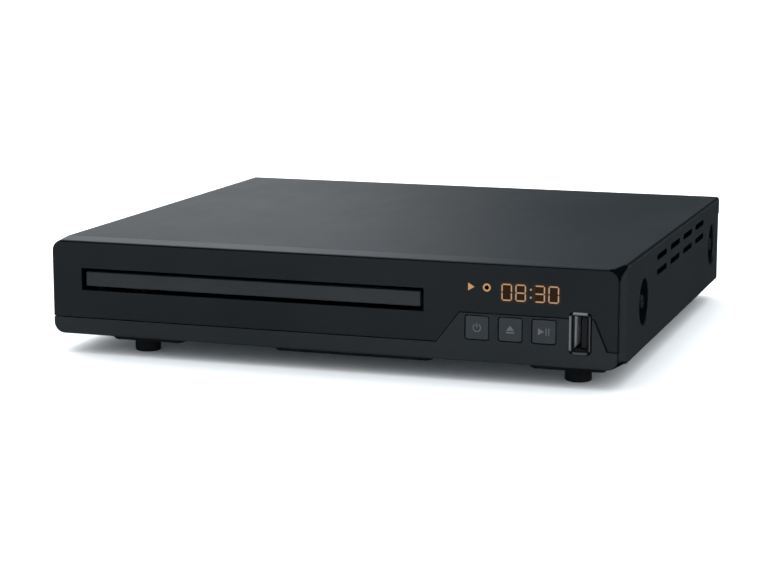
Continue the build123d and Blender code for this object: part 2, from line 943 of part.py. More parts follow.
with BuildPart() as top_cover:
    with BuildSketch(upright(rear_y)):
        cover_section(0)
    extrude(amount=case_depth - bezel_depth - seam)
    with BuildSketch(upright(panel_back_y)):
        cover_section(sheet)
    extrude(amount=case_depth, mode=Mode.SUBTRACT)
    block(
        (-case_width, case_width), (panel_inner_y, 2 * rear_y), (-bezel_top, bezel_top - rear_lip),
        Mode.SUBTRACT,
    )
    block((-case_width, case_width), (-case_depth, case_depth), (-bezel_top, cover_bottom), Mode.SUBTRACT)
    for side in (-1, 1):
        for depth in dimple_depths:
            for grow, mode in ((sheet, Mode.ADD), (0, Mode.SUBTRACT)):
                mouth = Plane(
                    origin=(side * case_width / 2, depth_y(depth), dimple_z),
                    x_dir=(0, 1, 0),
                    z_dir=(-side, 0, 0),
                )
                with BuildSketch(mouth):
                    Circle(dimple_radius)
                with BuildSketch(mouth.offset(dimple_depth + grow)):
                    Circle(dimple_floor_radius)
                loft(mode=mode)
    with BuildSketch(across(-case_width)):
        with Locations(*[(depth_y(depth), dimple_z) for depth in dimple_depths]):
            Circle(screw_hole_radius)
        for row in vent_rows:
            with Locations(*[
                (depth_y(vent_start + vent_length / 2 + k * vent_pitch), rise_z(row))
                for k in range(vent_columns)
            ]):
                SlotOverall(vent_length, vent_width)
    extrude(amount=2 * case_width, mode=Mode.SUBTRACT)
    with BuildSketch(upright(2 * rear_y)):
        with Locations(*rear_screw_places):
            Circle(screw_hole_radius)
    extrude(amount=rear_y + bezel_height / 2, mode=Mode.SUBTRACT)
save(top_cover, "top_cover")

with BuildPart() as cover_screws:
    for side in (-1, 1):
        for depth in dimple_depths:
            add_screw((side * (case_width / 2 - dimple_depth), depth_y(depth), dimple_z), (-side, 0, 0))
    for x, z in rear_screw_places:
        add_screw((x, rear_y, z), (0, -1, 0))
save(cover_screws, "cover_screws")

# Rear panel with its flanges and the openings for the sockets
rear_panel_top = cover_inner_top - seat_gap
jack_places = [(side_x(column), rise_z(row)) for column in jack_columns for row in jack_rows]
hdmi_x = side_x(hdmi_column)
hdmi_z = board_top + hdmi_lift + hdmi_height / 2
inlet_x = side_x(inlet_column)
inlet_z = rise_z(inlet_rise)


def inlet_outline(margin):
    with Locations((inlet_x, inlet_z)):
        SlotCenterToCenter(inlet_spacing, 2 * (inlet_lobe_radius + margin))


rear_flange = panel_gap - seat_gap
with BuildPart() as rear_panel:
    block(
        (left_x + sheet + seat_gap, -left_x - sheet - seat_gap), (panel_inner_y, panel_back_y),
        (pan_bottom, rear_panel_top),
    )
    block(
        (sheet + small_gap - pan_half, pan_half - sheet - small_gap),
        (panel_inner_y - rear_flange, panel_inner_y), (pan_top, pan_top + sheet),
    )
    for x, z in rear_screw_places:
        rod((x, z), (panel_inner_y - screw_length, panel_inner_y), standoff_radius)
    with BuildSketch(upright(panel_back_y)):
        with Locations(*rear_screw_places):
            Circle(screw_hole_radius)
    extrude(amount=2 * screw_length, mode=Mode.SUBTRACT)
    with BuildSketch(upright(panel_back_y)):
        with Locations(*jack_places):
            Circle(jack_collar_radius + opening_gap)
        with Locations((hdmi_x, hdmi_z)):
            Rectangle(hdmi_width + 2 * opening_gap, hdmi_height + 2 * opening_gap)
        inlet_outline(inlet_wall + opening_gap)
        with Locations((side_x(rear_vent_column), rise_z(rear_vent_rise))):
            with GridLocations(rear_vent_pitch, 0, rear_vent_count, 1):
                SlotOverall(rear_vent_height, vent_width, rotation=90)
    extrude(amount=2 * sheet, mode=Mode.SUBTRACT)
save(rear_panel, "rear_panel")

# Tray door
door_rear_y = depth_y(door_recess + door_thickness)
door_width = slot_width - 2 * door_gap
door_height = slot_height - 2 * door_gap
with BuildPart() as tray_door:
    with BuildSketch(upright(door_rear_y)):
        with Locations((tray_x, slot_z)):
            RectangleRounded(door_width, door_height, door_radius)
    extrude(amount=door_thickness)
    fillet(tray_door.faces().sort_by(Axis.Y)[0].edges(), door_edge)
save(tray_door, "tray_door")

# Disc tray with its seats, finger notches, centre slot and rack
tray_bottom = slot_z - tray_height / 2
tray_top = slot_z + tray_height / 2
tray_y = (door_rear_y, door_rear_y + tray_length)
disc_y = depth_y(disc_depth)
disc_place = (tray_x, disc_y)
seat_radius = disc_radius + disc_clearance
seat_z = tray_top - disc_seat_depth
slot_half = tray_slot_width / 2
pinion_y = depth_y(pinion_depth)
rack_back_x = tray_x - tray_half + rack_inset
rack_pitch_x = rack_back_x + rack_body + dedendum_share * rack_module
rack_step = pi * rack_module
rack_range = (
    -int((pinion_y - tray_y[0] - rack_end_margin) / rack_step),
    int((tray_y[1] - rack_end_margin - pinion_y) / rack_step),
)
rack_bottom = tray_bottom - rack_height
with BuildPart() as disc_tray:
    with BuildSketch(level(tray_bottom)):
        with Locations((tray_x, sum(tray_y) / 2)):
            RectangleRounded(tray_width, tray_length, tray_corner)
    extrude(amount=tray_height)
    post(disc_place, (seat_z, tray_top + sheet), seat_radius, Mode.SUBTRACT)
    post(disc_place, (seat_z - small_disc_depth, tray_top), small_disc_radius, Mode.SUBTRACT)
    post(disc_place, (0, tray_top), slot_half, Mode.SUBTRACT)
    block(
        (tray_x - slot_half, tray_x + slot_half), (disc_y, 2 * tray_y[1]), (0, 2 * tray_top), Mode.SUBTRACT,
    )
    with BuildSketch(level(tray_top)):
        with Locations((tray_x - seat_radius, disc_y), (tray_x + seat_radius, disc_y)):
            Circle(finger_radius)
        with Locations(disc_place):
            Rectangle(tray_width - 2 * finger_margin, 2 * finger_radius, mode=Mode.INTERSECT)
    extrude(amount=-finger_depth, mode=Mode.SUBTRACT)
    with BuildSketch(level(rack_bottom)):
        Polygon(*rack_points(rack_pitch_x, pinion_y, rack_module, rack_range, rack_back_x), align=None)
    extrude(amount=rack_height)
save(disc_tray, "disc_tray")

# Loader frame: side walls with ledges and tabs for the tray, a gear deck, and cross members
pinion_radius = pinion_teeth * rack_module / 2
pinion_place = (rack_pitch_x + pinion_radius, pinion_y)
train_distance = (drive_teeth + idler_teeth) * train_module / 2
idler_place = (pinion_place[0] + train_distance, pinion_y)
motor_place = (idler_place[0] + motor_offset, pinion_y)
pinion_top = tray_bottom - train_clearance
gear_top = pinion_top - pinion_height
gear_bottom = gear_top - gear_thickness
deck_top = gear_bottom - gear_lift
deck_bottom = deck_top - deck_thickness
wall_top = tray_top + bridge_over_tray
carriage_z = (rise_z(carriage_rise), rise_z(carriage_rise) + carriage_thickness)
pivot_z = sum(carriage_z) / 2
pivot_y = depth_y(pivot_depth)
carriage_half = carriage_width / 2
carriage_y = (depth_y(carriage_front), depth_y(carriage_rear))
cam_y = (carriage_y[0] - cam_gap - cam_thickness, carriage_y[0] - cam_gap)
cam_wall_y = (cam_y[0] - small_gap - cam_wall, cam_y[0] - small_gap)
floor_z = (frame_bottom, frame_bottom + frame_floor)
cam_pin_places = [tray_x + side * cam_pin_spacing / 2 for side in (-1, 1)]
cam_x = (cam_pin_places[0] - cam_travel - cam_margin, cam_pin_places[1] + cam_margin)
bridge_y = (disc_y - bridge_length / 2, disc_y + bridge_length / 2)
bridge_screws = [
    (tray_x + side * (wall_outer + bridge_ear / 2), disc_y + end * (bridge_length / 2 - bridge_screw_margin))
    for side in (-1, 1)
    for end in (-1, 1)
]
cross_y = (depth_y(cross_front), depth_y(cross_front + cross_length))
bracket_x = (carriage_half + pivot_side_gap, carriage_half + pivot_reach - pivot_side_gap / 2)
with BuildPart() as loader_frame:
    for side in (-1, 1):
        inner_x = tray_x + side * wall_inner
        outer_x = tray_x + side * wall_outer
        block((inner_x, outer_x), frame_y, (frame_bottom, wall_top))
        block(
            (inner_x, inner_x - side * ledge_width), frame_y,
            (tray_bottom - small_gap - ledge_height, tray_bottom - small_gap),
        )
        for depth in tab_depths:
            block(
                (inner_x, inner_x - side * tab_reach), (depth_y(depth), depth_y(depth) + tab_length),
                (tray_top + small_gap, tray_top + small_gap + tab_height),
            )
        block(
            (outer_x, outer_x + side * bridge_ear), bridge_y, (wall_top - bridge_ear_height, wall_top),
        )
        block(
            (tray_x + side * bracket_x[0], tray_x + side * bracket_x[1]),
            (pivot_y - pivot_bracket / 2, pivot_y + pivot_bracket / 2),
            (floor_z[0], pivot_z + pivot_bracket / 2),
        )
    block((tray_x - wall_outer, tray_x + wall_outer), (frame_y[0], cam_wall_y[1]), (deck_bottom, deck_top))
    block((tray_x - wall_outer, tray_x + wall_outer), cross_y, floor_z)
    block((cam_x[0], cam_x[1] + cam_travel), cam_wall_y, (floor_z[0], deck_top))
    block((tray_x - wall_outer, tray_x + wall_outer), (frame_y[1] - rear_cross_length, frame_y[1]), floor_z)
    for place in (pinion_place, idler_place):
        post(place, (deck_bottom, pinion_top), gear_pin_radius)
        post(place, (deck_top, gear_bottom - small_gap), gear_pin_radius + frame_floor)
    post(motor_place, (0, wall_top), motor_shaft_radius + seat_gap, Mode.SUBTRACT)
    cross_rod((pivot_y, pivot_z), (-case_width, case_width), pivot_radius + running_gap, Mode.SUBTRACT)
    for place in frame_screws + bridge_screws:
        post(place, (0, wall_top), screw_hole_radius, Mode.SUBTRACT)
save(loader_frame, "loader_frame")

# Loading motor, its pulley, the belt and the gears of the tray drive
with BuildPart() as loading_motor:
    post(motor_place, (deck_bottom - motor_length, deck_bottom), motor_radius)
    fillet(loading_motor.edges().filter_by(GeomType.CIRCLE).group_by(Axis.Z)[0], frame_floor)
    post(motor_place, (deck_bottom, pinion_top), motor_shaft_radius)
save(loading_motor, "loading_motor")

pulley_bottom = gear_top + gear_lift
belt_z = (pulley_bottom + pinion_top) / 2


def add_pulley(place, radius, bore):
    """A pulley with a square groove for the belt."""
    post(place, (pulley_bottom, pinion_top), radius)
    with BuildSketch(level(belt_z - belt_size / 2 - belt_fit)) as rim:
        with Locations(place):
            Circle(radius)
            Circle(radius - belt_groove, mode=Mode.SUBTRACT)
    extrude(rim.sketch, amount=belt_size + 2 * belt_fit, mode=Mode.SUBTRACT)
    post(place, (0, pinion_top), bore, Mode.SUBTRACT)


with BuildPart() as motor_pulley:
    add_pulley(motor_place, motor_pulley_radius, motor_shaft_radius + running_gap / 2)
save(motor_pulley, "motor_pulley")

with BuildPart() as pulley_gear:
    add_gear(idler_place, gear_bottom, gear_thickness, idler_teeth, train_module, pi / idler_teeth)
    post(idler_place, (gear_top, pulley_bottom), pulley_hub_radius)
    add_pulley(idler_place, pulley_radius, gear_pin_radius + running_gap)
save(pulley_gear, "pulley_gear")

with BuildPart() as drive_gear:
    add_gear(pinion_place, gear_bottom, gear_thickness, drive_teeth, train_module, 0)
    add_gear(pinion_place, gear_top, pinion_height, pinion_teeth, rack_module, 0)
    post(pinion_place, (0, pinion_top), gear_pin_radius + running_gap, Mode.SUBTRACT)
save(drive_gear, "drive_gear")


def belt_face(offset_out):
    """Area inside a loop round both pulleys, at a distance outside the grooves' floors."""
    big = pulley_radius - belt_groove + offset_out
    small = motor_pulley_radius - belt_groove + offset_out
    lean = asin((big - small) / motor_offset)
    rise = (sin(lean), cos(lean))
    with BuildLine() as loop:
        upper = Line(
            (idler_place[0] + big * rise[0], idler_place[1] + big * rise[1]),
            (motor_place[0] + small * rise[0], motor_place[1] + small * rise[1]),
        )
        lower = Line(
            (motor_place[0] + small * rise[0], motor_place[1] - small * rise[1]),
            (idler_place[0] + big * rise[0], idler_place[1] - big * rise[1]),
        )
        ThreePointArc(upper @ 1, (motor_place[0] + small, motor_place[1]), lower @ 0)
        ThreePointArc(lower @ 1, (idler_place[0] - big, idler_place[1]), upper @ 0)
    return loop.wires()[0]


with BuildPart() as loading_belt:
    with BuildSketch(level(belt_z - belt_size / 2)):
        make_face(belt_face(belt_fit + belt_size).edges())
        make_face(belt_face(belt_fit).edges(), mode=Mode.SUBTRACT)
    extrude(amount=belt_size)
save(loading_belt, "loading_belt")

# Cam slider: its two sloped slots lower the front of the carriage
cam_bottom = floor_z[1] + small_gap
with BuildPart() as cam_slider:
    block(cam_x, cam_y, (cam_bottom, cam_bottom + cam_height))
    with BuildSketch(upright(cam_y[1])):
        with Locations(*[(x - cam_travel / 2, pivot_z - cam_drop / 2) for x in cam_pin_places]):
            SlotCenterToCenter(
                hypot(cam_travel, cam_drop), 2 * (cam_pin_radius + cam_slack),
                rotation=degrees(atan2(cam_drop, cam_travel)),
            )
    extrude(amount=cam_thickness, mode=Mode.SUBTRACT)
save(cam_slider, "cam_slider")

# Lifting carriage: a plate on two rear pivots, with the rods' blocks, the spindle and the feed drive
lens_y = disc_y + pickup_start
guide_z = carriage_z[1] + guide_radius + guide_lift
guide_y = (depth_y(guide_front), carriage_y[1] - seat_gap)
guide_blocks = (
    (guide_y[0], guide_y[0] + guide_block),
    (guide_y[1] - guide_block, guide_y[1]),
)
feed_y = depth_y(feed_depth)
feed_pitch_x = tray_x + feed_rack_back + feed_rack_body + dedendum_share * feed_module
feed_place = (feed_pitch_x + feed_pinion_teeth * feed_module / 2, feed_y)
feed_motor_place = (feed_place[0], feed_y - (feed_wheel_teeth + feed_motor_teeth) * feed_module / 2)
feed_rack_z = carriage_z[1] + feed_rack_lift
feed_wheel_z = carriage_z[1] + feed_wheel_lift
feed_top = feed_wheel_z + feed_wheel_thickness
with BuildPart() as carriage:
    block((tray_x - carriage_half, tray_x + carriage_half), carriage_y, carriage_z)
    block(
        (tray_x + carriage_half, tray_x + carriage_half + feed_arm),
        (feed_y - feed_arm_fore, feed_y + feed_arm_aft), carriage_z,
    )
    block(
        (tray_x - window_width / 2, tray_x + window_width / 2), (depth_y(window_front), depth_y(window_rear)),
        (0, tray_top), Mode.SUBTRACT,
    )
    post(disc_place, (0, tray_top), spindle_base_radius - frame_wall, Mode.SUBTRACT)
    for x in cam_pin_places:
        rod((x, pivot_z), (carriage_y[0] - cam_pin_reach, carriage_y[0]), cam_pin_radius)
    for side in (-1, 1):
        edge = tray_x + side * carriage_half
        cross_rod((pivot_y, pivot_z), (edge, edge + side * pivot_reach), pivot_radius)
        for ends in guide_blocks:
            middle = tray_x + side * guide_spacing / 2
            block(
                (middle - guide_block_width / 2, middle + guide_block_width / 2), ends,
                (carriage_z[0], guide_z + guide_radius + sheet),
            )
            rod((middle, guide_z), ends, guide_radius + guide_fit, Mode.SUBTRACT)
    post(feed_place, (carriage_z[0], feed_top), feed_pin_radius)
    post(feed_motor_place, (0, tray_top), feed_shaft_radius + seat_gap, Mode.SUBTRACT)
save(carriage, "carriage")

with BuildPart() as guide_rods:
    for side in (-1, 1):
        rod((tray_x + side * guide_spacing / 2, guide_z), guide_y, guide_radius)
save(guide_rods, "guide_rods")

# Spindle motor on the carriage, and the turntable with its hub and shaft
spindle_top = carriage_z[1] + spindle_base + spindle_height
disc_z = seat_z + disc_lift
with BuildPart() as spindle_motor:
    post(disc_place, (carriage_z[1], carriage_z[1] + spindle_base), spindle_base_radius)
    post(disc_place, (carriage_z[1], spindle_top), spindle_radius)
    fillet(spindle_motor.edges().filter_by(GeomType.CIRCLE).group_by(Axis.Z)[-1], spindle_base)
    post(
        disc_place, (spindle_top - shaft_hold - sheet, tray_top), spindle_shaft_radius + running_gap,
        Mode.SUBTRACT,
    )
save(spindle_motor, "spindle_motor")

with BuildPart() as turntable:
    post(disc_place, (disc_z - turntable_thickness, disc_z), turntable_radius)
    post(disc_place, (disc_z, disc_z + hub_height), hub_radius)
    chamfer(turntable.edges().filter_by(GeomType.CIRCLE).group_by(Axis.Z)[-1], hub_taper)
    post(disc_place, (spindle_top - shaft_hold, disc_z - turntable_thickness), spindle_shaft_radius)
save(turntable, "turntable")

# Pickup on its rods, with the floating lens holder and the lens
pickup_y = (lens_y - pickup_fore, lens_y + pickup_aft)
lens_place = (tray_x, lens_y)
pickup_bottom = carriage_z[0] - pickup_below
pickup_top = carriage_z[1] + pickup_top_rise
ear_x = guide_spacing / 2 + pickup_ear / 2
feed_step = pi * feed_module
feed_range = (
    -int((feed_y - pickup_y[0]) / feed_step),
    int((pickup_y[0] + pickup_travel + guide_block + seat_gap - feed_y) / feed_step) + 1,
)
with BuildPart() as pickup_sled:
    block(
        (tray_x - pickup_width / 2, tray_x + pickup_width / 2), pickup_y,
        (pickup_bottom, carriage_z[1] + pickup_above),
    )
    block(
        (tray_x - ear_x, tray_x + ear_x), pickup_y,
        (carriage_z[1] + pickup_ear_gap, carriage_z[1] + pickup_above),
    )
    block(
        (tray_x - pickup_top_width / 2, tray_x + pickup_top_width / 2), pickup_y, (pickup_bottom, pickup_top),
    )
    fillet(pickup_sled.edges().filter_by(Axis.Z).group_by(SortBy.LENGTH)[-1], sheet)
    for side in (-1, 1):
        rod((tray_x + side * guide_spacing / 2, guide_z), pickup_y, guide_radius + running_gap, Mode.SUBTRACT)
    with BuildSketch(level(feed_rack_z)):
        Polygon(
            *rack_points(feed_pitch_x, feed_y, feed_module, feed_range, tray_x + feed_rack_back), align=None,
        )
    extrude(amount=feed_rack_thickness)
save(pickup_sled, "pickup_sled")

holder_z = (pickup_top + lens_float, pickup_top + lens_float + lens_holder_height)
with BuildPart() as lens_holder:
    post(lens_place, holder_z, lens_holder_radius)
    block(
        (tray_x - lens_holder_radius - lens_radius, tray_x + lens_holder_radius + lens_radius),
        (lens_y - lens_radius, lens_y + lens_radius), holder_z,
    )
    post(lens_place, holder_z, lens_radius, Mode.SUBTRACT)
save(lens_holder, "lens_holder")

with BuildPart() as pickup_lens:
    post(lens_place, holder_z, lens_radius)
    with BuildSketch(level(holder_z[1])):
        with Locations(lens_place):
            Circle(lens_radius)
    extrude(amount=lens_height, taper=lens_taper)
save(pickup_lens, "pickup_lens")

# Feed motor with its gear, and the wheel whose pinion moves the pickup
with BuildPart() as feed_motor:
    post(feed_motor_place, (carriage_z[0] - feed_motor_length, carriage_z[0]), feed_motor_radius)
    post(feed_motor_place, (carriage_z[0], feed_top), feed_shaft_radius)
save(feed_motor, "feed_motor")

with BuildPart() as feed_pinion:
    add_gear(
        feed_motor_place, feed_wheel_z, feed_wheel_thickness, feed_motor_teeth, feed_module,
        pi / 2 + pi / feed_motor_teeth,
    )
    post(feed_motor_place, (0, feed_top), feed_shaft_radius + running_gap / 2, Mode.SUBTRACT)
save(feed_pinion, "feed_pinion")

with BuildPart() as feed_gear:
    add_gear(feed_place, feed_rack_z, feed_rack_thickness, feed_pinion_teeth, feed_module, 0)
    post(feed_place, (feed_rack_z, feed_wheel_z), 2 * feed_pin_radius)
    add_gear(feed_place, feed_wheel_z, feed_wheel_thickness, feed_wheel_teeth, feed_module, -pi / 2)
    post(feed_place, (0, feed_top), feed_pin_radius + running_gap, Mode.SUBTRACT)
save(feed_gear, "feed_gear")

# Clamp bridge over the tray, with the loose clamp that holds a disc down and its magnet
bridge_z = (wall_top, wall_top + bridge_thickness)
bridge_half = wall_outer + bridge_ear
with BuildPart() as clamp_bridge:
    block((tray_x - bridge_half, tray_x + bridge_half), bridge_y, bridge_z)
    for y in bridge_y:
        inward = bridge_thickness if y < disc_y else -bridge_thickness
        block(
            (tray_x - wall_inner, tray_x + wall_inner), (y, y + inward),
            (bridge_z[0], bridge_z[1] + bridge_rib),
        )
    post(disc_place, (0, bezel_top), bridge_bore, Mode.SUBTRACT)
    for place in bridge_screws:
        post(place, (0, bezel_top), screw_hole_radius, Mode.SUBTRACT)
save(clamp_bridge, "clamp_bridge")

clamp_z = disc_z + disc_thickness + clamp_gap
clamp_flange_z = bridge_z[1] + clamp_gap
clamp_top = clamp_flange_z + clamp_plate
with BuildPart() as clamp_puck:
    post(disc_place, (clamp_z, clamp_z + clamp_plate), clamp_radius)
    post(disc_place, (clamp_z, clamp_top), clamp_neck_radius)
    post(disc_place, (clamp_flange_z, clamp_top), clamp_radius)
    post(disc_place, (clamp_z, clamp_z + clamp_recess), clamp_recess_radius, Mode.SUBTRACT)
    post(disc_place, (clamp_top - magnet_height, clamp_top), magnet_radius + running_gap, Mode.SUBTRACT)
save(clamp_puck, "clamp_puck")

with BuildPart() as clamp_magnet:
    post(disc_place, (clamp_top - magnet_height, clamp_top), magnet_radius)
    post(disc_place, (clamp_top - magnet_height, clamp_top), magnet_bore, Mode.SUBTRACT)
save(clamp_magnet, "clamp_magnet")

# Buttons with their stems, and the plungers of the switches that they press
button_front_y = depth_y(button_recess)
lip_y = face_inner_y + seat_gap
switch_front_y = front_board_y - switch_height
plunger_front_y = switch_front_y - plunger_free
for name, x in zip(button_names, button_places):
    with BuildPart() as button:
        with BuildSketch(upright(lip_y)):
            with Locations((x, button_z)):
                RectangleRounded(button_size, button_size, button_radius)
        extrude(amount=lip_y - button_front_y)
        fillet(button.faces().sort_by(Axis.Y)[0].edges(), button_edge)
        lip_size = button_opening + 2 * button_lip
        with BuildSketch(upright(lip_y + button_lip_thickness)):
            with Locations((x, button_z)):
                Rectangle(lip_size, lip_size)
        extrude(amount=button_lip_thickness)
        rod((x, button_z), (lip_y, plunger_front_y), stem_radius)
    save(button, f"{name}_button")
    with BuildPart() as plunger:
        rod((x, button_z), (plunger_front_y, switch_front_y + plunger_hold), plunger_radius)
    save(plunger, f"{name}_plunger")

with BuildPart() as tact_switches:
    for x in button_places:
        block(
            (x - switch_size / 2, x + switch_size / 2), (switch_front_y, front_board_y),
            (button_z - switch_size / 2, button_z + switch_size / 2),
        )
        rod(
            (x, button_z), (switch_front_y, front_board_y - switch_floor), plunger_radius + plunger_clearance,
            Mode.SUBTRACT,
        )
save(tact_switches, "tact_switches")

# Front board, with an opening that carries the socket's shell
front_board_back = front_board_y + board_thickness
with BuildPart() as front_board:
    block(front_board_x, (front_board_y, front_board_back), front_board_z)
    with BuildSketch(upright(front_board_back)):
        shell_shape(seat_gap)
        with Locations(*front_board_holes):
            Circle(screw_hole_radius)
    extrude(amount=board_thickness, mode=Mode.SUBTRACT)
save(front_board, "front_board")

with BuildPart() as display_module:
    block(
        (display_x - display_width / 2 + seat_gap, display_x + display_width / 2 - seat_gap),
        (display_y, front_board_y),
        (digit_z - display_height / 2 + seat_gap, digit_z + display_height / 2 - seat_gap),
    )
save(display_module, "display_module")

receiver_x = side_x(receiver_column)
receiver_z = rise_z(receiver_rise)
with BuildPart() as ir_receiver:
    block(
        (receiver_x - receiver_radius, receiver_x + receiver_radius),
        (front_board_y - receiver_length + receiver_radius, front_board_y),
        (receiver_z - receiver_length / 2, receiver_z + receiver_length / 2),
    )
    with Locations((receiver_x, front_board_y - receiver_length + receiver_radius, receiver_z)):
        Sphere(receiver_radius)
save(ir_receiver, "ir_receiver")

# Socket for a memory stick: a glossy trim, a steel shell and a tongue on an insulator
with BuildPart() as usb_trim:
    with BuildSketch(upright(front_y - trim_proud + trim_length)):
        port_shape(0)
    extrude(amount=trim_length)
    fillet(usb_trim.faces().sort_by(Axis.Y)[0].edges(), trim_edge)
    with BuildSketch(upright(front_y + trim_length)):
        port_shape(-trim_wall)
    extrude(amount=2 * trim_length, mode=Mode.SUBTRACT)
save(usb_trim, "usb_trim")

shell_y = (depth_y(shell_recess), depth_y(shell_recess + shell_length))
with BuildPart() as usb_shell:
    with BuildSketch(upright(shell_y[1])):
        shell_shape(0)
        shell_shape(-shell_wall)
    extrude(amount=shell_length)
    with BuildSketch(upright(shell_y[1])):
        shell_shape(-shell_wall)
    extrude(amount=shell_length, mode=Mode.SUBTRACT)
save(usb_shell, "usb_shell")

tongue_x = port_x + tongue_offset
with BuildPart() as usb_tongue:
    with BuildSketch(upright(shell_y[1])):
        shell_shape(-shell_wall - guide_fit)
    extrude(amount=socket_back)
    block(
        (tongue_x - tongue_thickness / 2, tongue_x + tongue_thickness / 2),
        (shell_y[0] + tongue_recess, shell_y[1]), (port_z - tongue_height / 2, port_z + tongue_height / 2),
    )
save(usb_tongue, "usb_tongue")

# Main board, an L round the loader, and the power board beside it
board_z = (board_bottom, board_top)
board_front_y = depth_y(main_board_front)
arm_front_y = depth_y(arm_front)
main_board_x = (side_x(main_board_left), side_x(main_board_right))
power_board_x = (side_x(power_board_left), side_x(power_board_right))
with BuildPart() as main_board:
    block(main_board_x, (board_front_y, board_rear_y), board_z)
    block((side_x(arm_left), main_board_x[1]), (arm_front_y, board_front_y), board_z)
    for place in main_board_screws:
        post(place, board_z, screw_hole_radius, Mode.SUBTRACT)
save(main_board, "main_board")

with BuildPart() as power_board:
    block(power_board_x, (board_front_y, board_rear_y), board_z)
    for place in power_board_screws:
        post(place, board_z, screw_hole_radius, Mode.SUBTRACT)
save(power_board, "power_board")

with BuildPart() as board_chips:
    for inset, depth, width, length in chips:
        middle = (main_board_x[1] - inset, board_front_y + depth)
        block(
            (middle[0] - width / 2, middle[0] + width / 2), (middle[1] - length / 2, middle[1] + length / 2),
            (board_top, board_top + chip_height),
        )
save(board_chips, "board_chips")

sink_inset, sink_depth, sink_width, sink_length = chips[0]
sink_place = (main_board_x[1] - sink_inset, board_front_y + sink_depth)
sink_z = board_top + chip_height
with BuildPart() as heat_sink:
    block(
        (sink_place[0] - sink_width / 2, sink_place[0] + sink_width / 2),
        (sink_place[1] - sink_length / 2, sink_place[1] + sink_length / 2), (sink_z, sink_z + fin_thickness),
    )
    with Locations((*sink_place, sink_z + fin_height / 2)):
        with GridLocations(fin_pitch, 0, fin_count, 1):
            Box(fin_thickness, sink_length, fin_height)
save(heat_sink, "heat_sink")

with BuildPart() as capacitors:
    for inset, depth, radius, height in main_capacitors:
        post((main_board_x[1] - inset, board_front_y + depth), (board_top, board_top + height), radius)
    for inset, depth, radius, height in power_capacitors:
        post((power_board_x[0] + inset, board_front_y + depth), (board_top, board_top + height), radius)
    rims = capacitors.edges().filter_by(GeomType.CIRCLE)
    fillet(rims.filter_by(lambda edge: edge.center().Z > sink_z), sheet)
save(capacitors, "capacitors")

transformer_place = (side_x(transformer_column), depth_y(transformer_depth))
with BuildPart() as transformer:
    with Locations((*transformer_place, board_top + transformer_height / 2)):
        Box(transformer_width, transformer_core, transformer_height)
        Box(transformer_winding, transformer_length, transformer_height - 2 * transformer_yoke)
    with Locations((*transformer_place, board_top + transformer_yoke / 2)):
        Box(transformer_width, transformer_length, transformer_yoke)
save(transformer, "transformer")

# Flat ribbons with their connectors, and the wires between the boards
ribbon_low = pan_top + seat_gap + ribbon_thickness / 2
ribbon_over = floor_z[1] + seat_gap + ribbon_thickness / 2
ribbon_under = pickup_bottom - ribbon_thickness / 2
connector_z = board_top + connector_height / 2
connector_y = board_front_y + connector_lip
arm_connector_y = arm_front_y + connector_lip
front_connector_y = (front_board_back, front_board_back + connector_height)
front_connector_z = rise_z(front_ribbon_rise)
rear_cross_y = frame_y[1] - rear_cross_length
front_ribbon_x = side_x(front_ribbon_column)
loop_y = pickup_y[0] + ribbon_loop_inset
loop_bend = 2 * ribbon_bend - small_gap


def add_ribbon(middle_x, route, radii):
    """A flat ribbon of steady width whose route is given by its Y and Z."""
    with BuildSketch(across(middle_x - ribbon_width / 2)) as strip:
        with BuildLine():
            FilletPolyline(*route, radius=radii)
        trace(line_width=ribbon_thickness)
    extrude(strip.sketch, amount=ribbon_width)


with BuildPart() as pickup_ribbon:
    add_ribbon(
        tray_x,
        [
            (pickup_y[1] - ribbon_loop_inset, ribbon_under),
            (loop_y, ribbon_under),
            (loop_y, ribbon_low),
            (rear_cross_y - 2 * ribbon_ramp, ribbon_low),
            (rear_cross_y - ribbon_ramp / 2, ribbon_over),
            (board_front_y - ribbon_ramp, ribbon_over),
            (board_front_y - ribbon_ramp / 2, connector_z),
            (connector_y, connector_z),
        ],
        [loop_bend, loop_bend, ribbon_bend, ribbon_bend, ribbon_bend, sheet],
    )
save(pickup_ribbon, "pickup_ribbon")

with BuildPart() as front_ribbon:
    add_ribbon(
        front_ribbon_x,
        [
            (front_connector_y[1], front_connector_z),
            (front_connector_y[1] + ribbon_ramp, front_connector_z),
            (front_connector_y[1] + 3 * ribbon_ramp, ribbon_low),
            (arm_front_y - 3 * ribbon_ramp, ribbon_low),
            (arm_front_y - ribbon_ramp, connector_z),
            (arm_connector_y, connector_z),
        ],
        [ribbon_bend, ribbon_bend, ribbon_bend, ribbon_bend],
    )
save(front_ribbon, "front_ribbon")

harness_x = (side_x(power_board_right) - harness_inset, side_x(main_board_left) + harness_inset)
harness_y = depth_y(harness_depth)
harness_length = (wire_count + 1) * wire_pitch
connector_half = ribbon_width / 2 + connector_lip / 2
with BuildPart() as board_connectors:
    block(
        (tray_x - connector_half, tray_x + connector_half), (connector_y, connector_y + connector_depth),
        (board_top, board_top + connector_height),
    )
    block(
        (front_ribbon_x - connector_half, front_ribbon_x + connector_half),
        (arm_connector_y, arm_connector_y + connector_depth), (board_top, board_top + connector_height),
    )
    block(
        (front_ribbon_x - connector_half, front_ribbon_x + connector_half), front_connector_y,
        (front_connector_z - connector_depth / 2, front_connector_z + connector_depth / 2),
    )
    for x in harness_x:
        block(
            (x - connector_depth / 2, x + connector_depth / 2),
            (harness_y - harness_length / 2, harness_y + harness_length / 2),
            (board_top, board_top + connector_height),
        )
save(board_connectors, "board_connectors")

